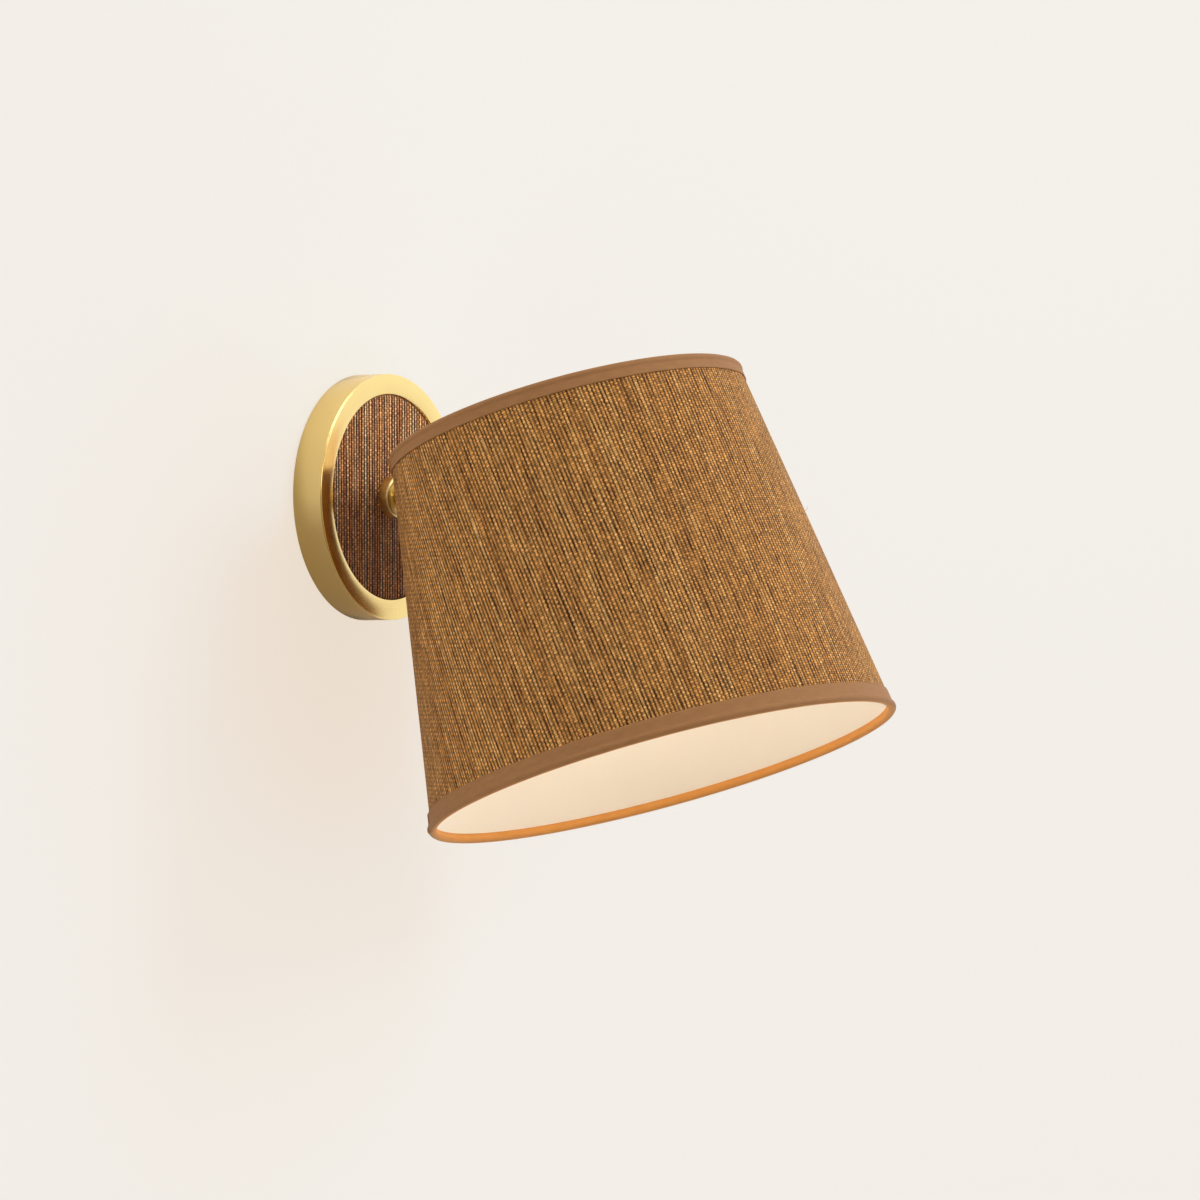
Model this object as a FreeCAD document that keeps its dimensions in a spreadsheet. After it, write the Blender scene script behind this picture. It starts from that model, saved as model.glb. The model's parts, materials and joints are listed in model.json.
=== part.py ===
import FreeCAD, Part
import math
import os
import Sketcher

# A wall light with a tilting fabric shade, as separate pieces, in millimetres.
# The origin is the centre of the wall plate's back, on the wall. +X is right for someone who faces
# the wall, +Y goes into the wall and +Z is up, so the whole light lies on the -Y side.
# "depth" is the distance out from the wall. "drop" is the distance below the shade's top edge, along
# the shade's own axis. "slant" is the distance down the sloping side of the shade from its top edge.

SIZES = [
    # wall plate and what holds it
    ("plateRadius", 63.5, "wall plate, outer radius"),
    ("plateDepth", 17.9, "wall plate, front of its rim from the wall"),
    ("plateRim", 10.4, "wall plate, width of the rim's front face"),
    ("plateWall", 3.0, "wall plate, side wall"),
    ("plateWeb", 2.0, "wall plate, web behind the inlay"),
    ("plateEdge", 0.5, "wall plate, bevel of the rim's front edges"),
    ("inlayDrop", 1.1, "inlay cloth, depth below the rim"),
    ("boardThickness", 1.2, "inlay board"),
    ("clothThickness", 0.4, "inlay cloth"),
    ("seatGap", 0.1, "play around pieces that drop into or over one another"),
    ("strapLength", 105.0, "bracket, length"),
    ("strapWidth", 20.0, "bracket, width"),
    ("strapThickness", 1.6, "bracket, thickness"),
    ("boxScrewSpacing", 79.4, "bracket, middle to middle of its two slots"),
    ("boxScrewHole", 2.25, "bracket, half width of a slot"),
    ("boxSlotLength", 14.1, "bracket, slot from end to end"),
    ("groundPlace", 21.0, "ground screw, distance from the middle"),
    ("groundRadius", 2.4, "ground screw, thread"),
    ("groundHeadRadius", 4.3, "ground screw, head"),
    ("groundHeadHeight", 2.4, "ground screw, head height"),
    ("nippleRadius", 5.0, "threaded nipple, outside"),
    ("nippleBore", 3.5, "threaded nipple, bore"),
    ("nippleShort", 0.5, "threaded nipple, how far it ends below the collar's front"),
    ("threadGap", 0.03, "play between mating threads"),
    ("locknutFlats", 7.0, "nipple locknut, middle to a flat"),
    ("locknutThickness", 3.2, "nipple locknut, thickness"),
    ("collarRadius", 10.7, "collar, outside"),
    ("collarLength", 6.0, "collar, length"),
    ("collarEdge", 0.7, "collar, bevel of the front edge"),
    # tilt joint
    ("pivotDepth", 31.5, "tilt axis from the wall"),
    ("neckRadius", 6.2, "neck of the fork, outside, and the round ends of its ears"),
    ("neckGapDepth", 0.45, "shadow gap at the neck's root, how deep"),
    ("neckGapWidth", 0.5, "shadow gap at the neck's root, how wide"),
    ("neckSpigot", 11.0, "part of the neck inside the nipple"),
    ("wireHole", 2.0, "wire hole through the neck"),
    ("tongueEnd", 5.2, "tongue, radius of its round end"),
    ("tongueHalf", 2.0, "tongue, half thickness"),
    ("tongueHeight", 4.0, "tongue, half height of its root"),
    ("jointGap", 0.3, "play between the fork and what swings past it"),
    ("washerThickness", 0.4, "friction washer"),
    ("washerRadius", 4.6, "friction washer, outside"),
    ("washerGap", 0.05, "play between a washer and the tongue"),
    ("pivotRadius", 1.75, "pivot screw, shank"),
    ("pivotGap", 0.05, "running play around the pivot screw"),
    ("earFace", 5.4, "spot faces for the screw head and nut, from the middle"),
    ("screwHeadRadius", 3.3, "pivot screw, head"),
    ("screwHeadHeight", 1.4, "pivot screw, head height"),
    ("screwOver", 0.6, "pivot screw, thread past the nut"),
    ("nutFlats", 2.9, "pivot nut, middle to a flat"),
    ("nutThickness", 1.6, "pivot nut, thickness"),
    # arm
    ("armRadius", 4.5, "arm tube, outside"),
    ("armWall", 1.0, "arm tube, wall"),
    ("shoulderLength", 1.0, "tongue, shoulder that meets the arm tube"),
    ("spigotLength", 10.0, "tongue, part inside the arm tube"),
    ("grubPlace", 7.0, "grub screw, distance past the shoulder"),
    ("grubRadius", 1.5, "grub screw"),
    ("grubLength", 2.6, "grub screw, length"),
    ("armShort", 11.0, "arm tube, where it ends before the shade's axis"),
    ("leadRadius", 1.1, "insulated lead"),
    ("leadPast", 5.0, "insulated lead, distance past the arm's end before it turns"),
    # shade
    ("shadeTilt", 17.6, "tilt of the shade from hanging straight, in degrees"),
    ("shadeReach", 100.9, "tilt axis to the shade's axis, square to the shade's axis"),
    ("shadeRise", 11.0, "shade's top edge above the tilt axis, along the shade's axis"),
    ("shadeTop", 91.35, "shade, radius of the top edge"),
    ("shadeBottom", 120.6, "shade, radius of the bottom edge"),
    ("shadeHeight", 191.7, "shade, height along its axis"),
    ("coverThickness", 0.8, "shade cover, woven cloth"),
    ("linerThickness", 0.6, "shade lining"),
    ("wireRadius", 1.4, "wire rings and spider rods"),
    ("wireInset", 0.8, "wire rings, how far their middle is behind the cover's face"),
    ("trimThickness", 0.5, "trim tape"),
    ("glueGap", 0.12, "glue line under the trim and around the wires"),
    ("topTrim", 8.3, "top trim, width of the band outside"),
    ("bottomTrim", 10.0, "bottom trim, width of the band outside"),
    ("trimTurn", 4.8, "trims, width of the fold inside"),
    ("eyeletGap", 0.35, "play between the arm and its eyelet"),
    ("eyeletWall", 0.3, "eyelet, barrel wall"),
    ("eyeletRim", 3.4, "eyelet, width of its rim"),
    ("eyeletRimThickness", 0.6, "eyelet, thickness of its rim"),
    ("eyeletStand", 0.4, "eyelet, gap for the shade's curve under its flat rim"),
    # spider, socket and finial
    ("cupTopDrop", 28.0, "socket cup, drop of its top"),
    ("cupRadius", 17.5, "socket cup, outside"),
    ("cupWall", 1.2, "socket cup, wall"),
    ("cupTopThickness", 1.5, "socket cup, top"),
    ("cupLength", 48.0, "socket cup, length"),
    ("bossWall", 2.0, "socket cup, wall of the boss around the arm"),
    ("bossOut", 2.5, "socket cup, how far the boss stands out"),
    ("studRadius", 3.0, "socket stud, thread"),
    ("studHeadRadius", 6.0, "socket stud, head"),
    ("studHeadHeight", 2.0, "socket stud, head height"),
    ("studLength", 13.0, "socket stud, thread above the cup"),
    ("hubRadius", 12.0, "spider hub, outside"),
    ("hubThickness", 3.0, "spider hub, thickness"),
    ("rodRoot", 8.0, "spider rods, where they start in the hub"),
    ("rodFlat", 20.0, "spider rods, where they start to rise"),
    ("rodTip", 9.0, "spider rods, level stretch before the top ring"),
    ("finialBase", 7.5, "finial, radius of its foot"),
    ("finialFoot", 2.0, "finial, height of its foot"),
    ("finialNeck", 4.6, "finial, radius of its neck"),
    ("finialNeckLength", 3.0, "finial, length of its neck"),
    ("finialBall", 6.6, "finial, radius of its ball"),
    ("holderDrop", 52.0, "lamp holder, drop of its back"),
    ("holderFloor", 4.0, "lamp holder, floor"),
    ("holderGap", 0.2, "play between the lamp holder and the cup"),
    ("holderLip", 2.0, "lamp holder, lip over the cup's end"),
    ("shellWall", 0.6, "screw shell, wall"),
    ("shellGap", 0.15, "play between the screw shell and the lamp holder"),
    ("shellShort", 0.8, "screw shell, how far it ends inside the lip"),
    ("contactRadius", 4.5, "centre contact, foot"),
    ("contactFoot", 0.5, "centre contact, foot thickness"),
    ("contactPin", 2.5, "centre contact, raised middle"),
    ("contactHeight", 2.1, "centre contact, height"),
    ("terminalPlace", 9.0, "terminal screws, distance from the axis"),
    ("terminalRadius", 1.5, "terminal screws, thread"),
    ("terminalHeadRadius", 3.2, "terminal screws, head"),
    ("terminalHeadHeight", 2.2, "terminal screws, head height"),
    ("terminalLength", 3.0, "terminal screws, thread"),
    # bulb
    ("bulbGap", 0.35, "play between the bulb's cap and the screw shell, and before its contact"),
    ("capRadius", 13.05, "bulb cap, outside"),
    ("capWall", 0.4, "bulb cap, wall"),
    ("capLength", 23.0, "bulb cap, length"),
    ("tipRadius", 4.6, "bulb's end contact, radius"),
    ("tipHeight", 0.6, "bulb's end contact, height"),
    ("insulatorTaper", 2.0, "bulb's black insulator, sloping part"),
    ("insulatorSeat", 2.0, "bulb's black insulator, part inside the cap"),
    ("glassRadius", 30.0, "bulb glass, radius"),
    ("glassLength", 79.0, "bulb glass, length"),
    ("glassNeckRadius", 14.2, "bulb glass, radius above its neck"),
    ("glassNeckLength", 7.0, "bulb glass, length of its neck"),
    ("glassWall", 0.8, "bulb glass, wall"),
    ("driverRadius", 8.0, "bulb's driver column, radius"),
    ("lightBoardRadius", 11.0, "bulb's light board, radius"),
    ("lightBoardThickness", 1.6, "bulb's light board, thickness"),
    ("lightBoardUp", 1.5, "bulb's light board, distance past the cap"),
]

UP = FreeCAD.Vector(0, 0, 1)
RIGHT = FreeCAD.Vector(1, 0, 0)
DOC = FreeCAD.newDocument("shade_wall_light")
PIECES = []
RODS = 3


class Size:
    """A length or angle: its number now, and the formula on the sheet that gives it."""

    def __init__(self, number, formula):
        self.number = number
        self.formula = formula

    def __add__(self, other):
        other = as_size(other)
        return Size(self.number + other.number, "(%s + %s)" % (self.formula, other.formula))

    def __sub__(self, other):
        other = as_size(other)
        return Size(self.number - other.number, "(%s - %s)" % (self.formula, other.formula))

    def __mul__(self, other):
        other = as_size(other)
        return Size(self.number * other.number, "(%s * %s)" % (self.formula, other.formula))

    def __truediv__(self, other):
        other = as_size(other)
        return Size(self.number / other.number, "(%s / %s)" % (self.formula, other.formula))

    def __rsub__(self, other):
        return as_size(other) - self

    def __neg__(self):
        return as_size(0) - self

    __radd__ = __add__
    __rmul__ = __mul__


def as_size(value):
    return value if isinstance(value, Size) else Size(float(value), str(value))


def root(value):
    return Size(math.sqrt(value.number), "sqrt(%s)" % value.formula)


def sine(angle):
    return Size(math.sin(math.radians(angle.number)), "sin(%s)" % angle.formula)


def cosine(angle):
    return Size(math.cos(math.radians(angle.number)), "cos(%s)" % angle.formula)


def arctangent(ratio):
    return Size(math.degrees(math.atan(ratio.number)), "(atan(%s) / (1 deg))" % ratio.formula)


def read_sheet():
    """Fill the sheet and give back its sizes by name."""
    sheet = DOC.addObject("Spreadsheet::Sheet", "Sizes")
    for row, (name, number, note) in enumerate(SIZES, 1):
        sheet.set("A%d" % row, note)
        sheet.set("B%d" % row, str(number))
        sheet.setAlias("B%d" % row, name)
    DOC.recompute()
    return {name: Size(float(sheet.get(name)), "Sizes." + name) for name, number, note in SIZES}


class Named:
    """The sizes as attributes, so that a formula reads like one."""

    def __init__(self, sizes):
        self.__dict__.update(sizes)


S = Named(read_sheet())

# ---- places worked out from the sizes ----

SIN_TILT = sine(S.shadeTilt)
COS_TILT = cosine(S.shadeTilt)
TOP_DEPTH = S.pivotDepth + S.shadeReach * COS_TILT - S.shadeRise * SIN_TILT
TOP_HEIGHT = S.shadeReach * SIN_TILT + S.shadeRise * COS_TILT
AXIS_DEPTH = S.pivotDepth + S.shadeReach / COS_TILT
FLARE = S.shadeBottom - S.shadeTop
SLANT = root(FLARE * FLARE + S.shadeHeight * S.shadeHeight)
SIN_FLARE = FLARE / SLANT
COS_FLARE = S.shadeHeight / SLANT
FLARE_ANGLE = arctangent(FLARE / S.shadeHeight)
SHADE_WALL = S.coverThickness + S.linerThickness
WIRE_SLANT = S.wireRadius + S.glueGap + S.trimThickness
EYELET_RADIUS = S.armRadius + S.eyeletGap + S.eyeletWall

RECESS_RADIUS = S.plateRadius - S.plateRim
INLAY_FRONT = S.plateDepth - S.inlayDrop
WEB_FRONT = INLAY_FRONT - S.clothThickness - S.boardThickness
WEB_BACK = WEB_FRONT - S.plateWeb
COLLAR_FRONT = INLAY_FRONT + S.collarLength
NIPPLE_END = COLLAR_FRONT - S.nippleShort
NIPPLE_HOLE = S.nippleRadius + S.threadGap
SLOT_FLOOR = S.pivotDepth - S.tongueEnd - S.jointGap
SLOT_HALF = S.tongueHalf + S.washerGap + S.washerThickness
PIVOT_HOLE = S.pivotRadius + S.pivotGap
SHOULDER = S.pivotDepth + S.neckRadius + S.jointGap
ARM_START = SHOULDER + S.shoulderLength
ARM_BORE = S.armRadius - S.armWall
ARM_END = AXIS_DEPTH - S.armShort

HUB_TOP = S.cupTopDrop - S.hubThickness
CUP_END = S.cupTopDrop + S.cupLength
CUP_BORE = S.cupRadius - S.cupWall
HOLDER_RADIUS = CUP_BORE - S.holderGap
HOLDER_MOUTH = CUP_END + S.holderLip
HOLDER_FLOOR = S.holderDrop + S.holderFloor
SHELL_BORE = S.capRadius + S.bulbGap
SHELL_RADIUS = SHELL_BORE + S.shellWall
HOLDER_BORE = SHELL_RADIUS + S.shellGap
CONTACT_TOP = HOLDER_FLOOR + S.contactHeight
TIP_END = CONTACT_TOP + S.bulbGap
INSULATOR_END = TIP_END + S.tipHeight
CAP_START = INSULATOR_END + S.insulatorTaper
CAP_END = CAP_START + S.capLength
GLASS_END = CAP_END + S.glassLength


def shade_point(slant, out):
    """Radius and drop of a point on the shade: down its slope, and out from the cover's face."""
    radius = S.shadeTop + slant * SIN_FLARE + out * COS_FLARE
    drop = slant * COS_FLARE - out * SIN_FLARE
    return radius, drop


# ---- frames that the pieces are drawn in ----

def bind(thing, path, value):
    thing.setExpression(path, as_size(value).formula)


def put(thing, depth, height, turn_axis, angle):
    """Place a piece at a depth and height over X = 0, turned about an axis."""
    depth, height, angle = as_size(depth), as_size(height), as_size(angle)
    middle = FreeCAD.Vector(0, -depth.number, height.number)
    thing.Placement = FreeCAD.Placement(middle, FreeCAD.Rotation(turn_axis, angle.number))
    bind(thing, "Placement.Base.y", -depth)
    bind(thing, "Placement.Base.z", height)
    bind(thing, "Placement.Rotation.Angle", angle)


def off_wall(thing, depth=0):
    """Own z is the way out from the wall, own y is up."""
    put(thing, depth, 0, RIGHT, 90)


def on_pivot(thing):
    """Own z lies along the tilt axis, towards +X."""
    put(thing, S.pivotDepth, 0, FreeCAD.Vector(0, 1, 0), 90)


def in_shade(thing):
    """Own z is the drop, down the shade's axis from its top edge; own y is away from the wall."""
    put(thing, TOP_DEPTH, TOP_HEIGHT, RIGHT, 180 - S.shadeTilt)


def through_shade(thing):
    """Own z goes into the shade, square to its wall, from the middle of the wall on the arm's axis."""
    slope = S.shadeTilt - FLARE_ANGLE
    down = ((S.shadeReach - S.shadeTop) * SIN_TILT + S.shadeRise * COS_TILT) / cosine(slope)
    radius, drop = shade_point(down, 0)
    outside = TOP_DEPTH - radius * COS_TILT + drop * SIN_TILT
    put(thing, outside + SHADE_WALL / 2 / cosine(slope), 0, RIGHT, 90 - slope)


# ---- sketches ----

def arc(centre, radius, turn):
    """The stretch from one corner to the next as an arc about a centre; turn is 1 or -1."""
    return (as_size(centre[0]), as_size(centre[1]), as_size(radius), turn)


def arc_geometry(start, end, bend):
    across, along, radius, turn = bend
    first = math.atan2(start[1].number - along.number, start[0].number - across.number)
    last = math.atan2(end[1].number - along.number, end[0].number - across.number)
    if turn < 0:
        first, last = last, first
    if last <= first:
        last += 2 * math.pi
    middle = FreeCAD.Vector(across.number, along.number, 0)
    return Part.ArcOfCircle(Part.Circle(middle, UP, radius.number), first, last)


def hold(drawing, kind, where, value):
    """Add one constraint whose value follows the sheet."""
    at = drawing.addConstraint(Sketcher.Constraint(kind, *where, as_size(value).number))
    drawing.renameConstraint(at, "size%d" % at)
    bind(drawing, "Constraints.size%d" % at, value)


def outline(corners):
    """A closed outline; a corner is (x, y), or (x, y, arc) where an arc leaves it."""
    def draw(drawing):
        points = [(as_size(corner[0]), as_size(corner[1])) for corner in corners]
        bends = [corner[2] if len(corner) > 2 else None for corner in corners]
        edges = []
        for here, bend in enumerate(bends):
            start, end = points[here], points[(here + 1) % len(points)]
            if bend:
                shape = arc_geometry(start, end, bend)
            else:
                shape = Part.LineSegment(flat(start), flat(end))
            edges.append(drawing.addGeometry(shape, False))
        ends = [(2, 1) if bend and bend[3] < 0 else (1, 2) for bend in bends]
        for here, edge in enumerate(edges):
            after = (here + 1) % len(edges)
            joined = (edge, ends[here][1], edges[after], ends[after][0])
            drawing.addConstraint(Sketcher.Constraint("Coincident", *joined))
            hold(drawing, "DistanceX", (-1, 1, edge, ends[here][0]), points[here][0])
            hold(drawing, "DistanceY", (-1, 1, edge, ends[here][0]), points[here][1])
            if bends[here]:
                hold_centre(drawing, edge, bends[here], points[here], points[after])
    return draw


def hold_centre(drawing, edge, bend, start, end):
    """Its two ends leave an arc's centre one way to move, and this takes it."""
    wide = abs(end[0].number - start[0].number) > abs(end[1].number - start[1].number)
    kind, value = ("DistanceY", bend[1]) if wide else ("DistanceX", bend[0])
    hold(drawing, kind, (-1, 1, edge, 3), value)


def flat(point):
    return FreeCAD.Vector(point[0].number, point[1].number, 0)


def circle(across, along, radius):
    def draw(drawing):
        middle = flat((as_size(across), as_size(along)))
        edge = drawing.addGeometry(Part.Circle(middle, UP, as_size(radius).number), False)
        hold(drawing, "DistanceX", (-1, 1, edge, 3), across)
        hold(drawing, "DistanceY", (-1, 1, edge, 3), along)
        hold(drawing, "Radius", (edge,), radius)
    return draw


def rectangle(left, low, right, high):
    return outline([(left, low), (right, low), (right, high), (left, high)])


def slot(middle, half_length, half_width):
    """A slot along x with round ends, about (middle, 0)."""
    reach = half_length - half_width
    right, left = middle + reach, middle - reach
    return outline([(left, -half_width), (right, -half_width, arc((right, 0), half_width, 1)),
                    (right, half_width), (left, half_width, arc((left, 0), half_width, 1))])


def hexagon(flats):
    """Six corners, from the distance between the middle and a flat."""
    corner = flats / cosine(as_size(30))
    angles = [as_size(60 * side) for side in range(6)]
    return outline([(corner * cosine(angle), corner * sine(angle)) for angle in angles])


def sketch(body, plane, *loops, lift=0):
    drawing = body.newObject("Sketcher::SketchObject", body.Name + "_sketch")
    base = [feature for feature in body.Origin.OriginFeatures if feature.Role == plane][0]
    drawing.AttachmentSupport = [(base, "")]
    drawing.MapMode = "FlatFace"
    bind(drawing, "AttachmentOffset.Base.z", lift)
    for loop in loops:
        loop(drawing)
    return drawing


# ---- features ----

def piece(kind, name, place=None):
    """A sub-part of the light, under the name of its file."""
    made = DOC.addObject(kind, name)
    if place:
        place(made)
    PIECES.append(made)
    return made


def blank(kind, name, place):
    """A shape that only serves to make a sub-part."""
    made = DOC.addObject(kind, name)
    place(made)
    return made


def turn(body, *loops):
    profile = sketch(body, "XZ_Plane", *loops)
    feature = body.newObject("PartDesign::Revolution", body.Name + "_turned")
    feature.Profile = profile
    feature.ReferenceAxis = (profile, ["V_Axis"])
    feature.Angle = 360
    return body


def pad(body, profile, length, middle=False):
    feature = body.newObject("PartDesign::Pad", body.Name + "_pad")
    feature.Profile = profile
    bind(feature, "Length", length)
    feature.SideType = "Symmetric" if middle else "One side"
    return feature


def pocket(body, profile, length=None, middle=False, outward=False):
    """Cut a sketch away: the given length, or everything in its way."""
    DOC.recompute()
    before = body.Shape.Volume
    feature = body.newObject("PartDesign::Pocket", body.Name + "_pocket")
    feature.Profile = profile
    feature.SideType = "Symmetric" if middle else "One side"
    feature.Reversed = outward
    if length is None:
        feature.Type = "ThroughAll"
    else:
        bind(feature, "Length", length)
    DOC.recompute()
    if not body.Shape.Volume < before:
        raise ValueError("a cut in %s removes nothing" % body.Name)
    return feature


def around(body, feature, count):
    """Repeat a feature around the body's z axis."""
    repeat = body.newObject("PartDesign::PolarPattern", body.Name + "_repeat")
    repeat.Originals = [feature]
    repeat.Axis = (feature.Profile[0], ["V_Axis"])
    repeat.Angle = 360
    repeat.Occurrences = count
    body.Tip = repeat


def bar(name, place, radius, length):
    made = blank("Part::Cylinder", name, place)
    bind(made, "Radius", radius)
    bind(made, "Height", length)
    return made


def cut(name, base, tool):
    made = piece("Part::Cut", name)
    made.Base = base
    made.Tool = tool
    return made


# ---- wall side ----

def make_bracket():
    body = piece("PartDesign::Body", "mounting_bracket", off_wall)
    half = S.strapLength / 2
    width = S.strapWidth / 2
    place = S.boxScrewSpacing / 2
    slot_half = S.boxSlotLength / 2
    loops = [rectangle(-half, -width, half, width), circle(0, 0, NIPPLE_HOLE)]
    loops += [slot(side * place, slot_half, S.boxScrewHole) for side in (-1, 1)]
    loops += [circle(S.groundPlace, 0, S.groundRadius + S.threadGap)]
    pad(body, sketch(body, "XY_Plane", *loops), S.strapThickness)


def make_ground_screw():
    body = piece("PartDesign::Body", "ground_screw", off_wall)
    head = circle(S.groundPlace, 0, S.groundHeadRadius)
    pad(body, sketch(body, "XY_Plane", head, lift=S.strapThickness), S.groundHeadHeight)
    shank = circle(S.groundPlace, 0, S.groundRadius)
    pad(body, sketch(body, "XY_Plane", shank), S.strapThickness)


def make_nipple():
    body = piece("PartDesign::Body", "threaded_nipple", off_wall)
    turn(body, rectangle(S.nippleBore, 0, S.nippleRadius, NIPPLE_END))


def make_locknut():
    body = piece("PartDesign::Body", "nipple_locknut", off_wall)
    loops = [hexagon(S.locknutFlats), circle(0, 0, NIPPLE_HOLE)]
    pad(body, sketch(body, "XY_Plane", *loops, lift=S.strapThickness), S.locknutThickness)


def make_canopy():
    body = piece("PartDesign::Body", "wall_plate", off_wall)
    inside = S.plateRadius - S.plateWall
    hole = S.nippleRadius + S.seatGap
    turn(body, outline([(inside, 0), (S.plateRadius, 0), (S.plateRadius, S.plateDepth - S.plateEdge),
                        (S.plateRadius - S.plateEdge, S.plateDepth),
                        (RECESS_RADIUS + S.plateEdge, S.plateDepth),
                        (RECESS_RADIUS, S.plateDepth - S.plateEdge), (RECESS_RADIUS, WEB_FRONT),
                        (hole, WEB_FRONT), (hole, WEB_BACK), (inside, WEB_BACK)]))


def make_inlay():
    inner = S.nippleRadius + S.seatGap
    outer = RECESS_RADIUS - S.seatGap
    board = piece("PartDesign::Body", "inlay_board", off_wall)
    turn(board, rectangle(inner, WEB_FRONT, outer, WEB_FRONT + S.boardThickness))
    cloth = piece("PartDesign::Body", "inlay_cloth", off_wall)
    turn(cloth, rectangle(inner, WEB_FRONT + S.boardThickness, outer, INLAY_FRONT))


def make_collar():
    body = piece("PartDesign::Body", "collar", off_wall)
    turn(body, outline([(NIPPLE_HOLE, INLAY_FRONT), (S.collarRadius, INLAY_FRONT),
                        (S.collarRadius, COLLAR_FRONT - S.collarEdge),
                        (S.collarRadius - S.collarEdge, COLLAR_FRONT), (NIPPLE_HOLE, COLLAR_FRONT)]))


def pivot_hole():
    return circle(0, S.pivotDepth, PIVOT_HOLE)


def make_fork():
    """The neck: a spigot inside the nipple, and two round ears on the tilt axis."""
    body = piece("PartDesign::Body", "knuckle_fork", off_wall)
    spigot = S.nippleBore - S.threadGap
    gap = S.neckRadius - S.neckGapDepth
    end = S.pivotDepth + S.neckRadius
    turn(body, outline([(S.wireHole, COLLAR_FRONT - S.neckSpigot), (spigot, COLLAR_FRONT - S.neckSpigot),
                        (spigot, COLLAR_FRONT), (gap, COLLAR_FRONT),
                        (gap, COLLAR_FRONT + S.neckGapWidth), (S.neckRadius, COLLAR_FRONT + S.neckGapWidth),
                        (S.neckRadius, end), (S.wireHole, end)]))
    beyond = end + S.neckRadius
    pocket(body, sketch(body, "XZ_Plane", rectangle(-SLOT_HALF, SLOT_FLOOR, SLOT_HALF, beyond)),
           middle=True)
    wide = 2 * S.neckRadius
    corners = outline([(S.neckRadius, S.pivotDepth, arc((0, S.pivotDepth), S.neckRadius, 1)),
                       (-S.neckRadius, S.pivotDepth), (-wide, S.pivotDepth), (-wide, beyond),
                       (wide, beyond), (wide, S.pivotDepth)])
    pocket(body, sketch(body, "YZ_Plane", corners), middle=True)
    pocket(body, sketch(body, "YZ_Plane", pivot_hole()), middle=True)
    face = circle(0, S.pivotDepth, S.screwHeadRadius + S.jointGap)
    pocket(body, sketch(body, "YZ_Plane", face, lift=S.earFace), outward=True)
    pocket(body, sketch(body, "YZ_Plane", face, lift=-S.earFace))


def make_pivot():
    screw = piece("PartDesign::Body", "pivot_screw", on_pivot)
    head = S.earFace + S.screwHeadHeight
    end = S.earFace + S.nutThickness + S.screwOver
    turn(screw, outline([(0, -head), (S.screwHeadRadius, -head), (S.screwHeadRadius, -S.earFace),
                         (S.pivotRadius, -S.earFace), (S.pivotRadius, end), (0, end)]))
    nut = piece("PartDesign::Body", "pivot_nut", on_pivot)
    loops = [hexagon(S.nutFlats), circle(0, 0, S.pivotRadius + S.threadGap)]
    pad(nut, sketch(nut, "XY_Plane", *loops, lift=S.earFace), S.nutThickness)


def make_washers():
    sides = []
    for name, start in (("washer_left", -SLOT_HALF), ("washer_right", SLOT_HALF - S.washerThickness)):
        body = blank("PartDesign::Body", name, on_pivot)
        turn(body, rectangle(PIVOT_HOLE, start, S.washerRadius, start + S.washerThickness))
        sides.append(body)
    piece("Part::Compound", "friction_washers").Links = sides


# ---- arm ----

def grub_hole():
    return circle(0, ARM_START + S.grubPlace, S.grubRadius + S.threadGap)


def make_tongue():
    body = piece("PartDesign::Body", "knuckle_tongue", off_wall)
    flat_end = S.pivotDepth + root(S.tongueEnd * S.tongueEnd - S.tongueHeight * S.tongueHeight)
    side = outline([(-S.tongueHeight, ARM_START), (-S.tongueHeight, flat_end,
                                                   arc((0, S.pivotDepth), S.tongueEnd, 1)),
                    (S.tongueHeight, flat_end), (S.tongueHeight, ARM_START)])
    pad(body, sketch(body, "YZ_Plane", side), 2 * S.tongueHalf, middle=True)
    spigot = ARM_BORE - S.threadGap
    end = ARM_START + S.spigotLength
    turn(body, outline([(0, SHOULDER), (S.armRadius, SHOULDER), (S.armRadius, ARM_START),
                        (spigot, ARM_START), (spigot, end), (0, end)]))
    pocket(body, sketch(body, "YZ_Plane", pivot_hole()), middle=True)
    inner = S.armRadius - S.grubLength
    pocket(body, sketch(body, "XZ_Plane", grub_hole(), lift=inner), outward=True)


def make_arm():
    body = piece("PartDesign::Body", "arm_tube", off_wall)
    turn(body, rectangle(ARM_BORE, ARM_START, S.armRadius, ARM_END))
    pocket(body, sketch(body, "XZ_Plane", grub_hole()), outward=True)
    grub = piece("PartDesign::Body", "arm_grub_screw", off_wall)
    round_end = circle(0, ARM_START + S.grubPlace, S.grubRadius)
    pad(grub, sketch(grub, "XZ_Plane", round_end, lift=S.armRadius - S.grubLength), S.grubLength)


def rounded_path(points):
    """Straight runs joined by arcs that touch them, each as large as its two runs allow."""
    edges = []
    start = points[0]
    for before, corner, after in zip(points, points[1:], points[2:]):
        back = (before - corner).normalize()
        ahead = (after - corner).normalize()
        trim = 0.45 * min(before.distanceToPoint(corner), after.distanceToPoint(corner))
        half_turn = (math.pi - back.getAngle(ahead)) / 2
        radius = trim / math.tan(half_turn)
        first, last = corner + back * trim, corner + ahead * trim
        bisector = (back + ahead).normalize()
        inside = corner + bisector * (radius / math.cos(half_turn) - radius)
        edges += [Part.LineSegment(start, first).toShape(), Part.Arc(first, inside, last).toShape()]
        start = last
    edges.append(Part.LineSegment(start, points[-1]).toShape())
    return Part.Wire(edges)


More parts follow.
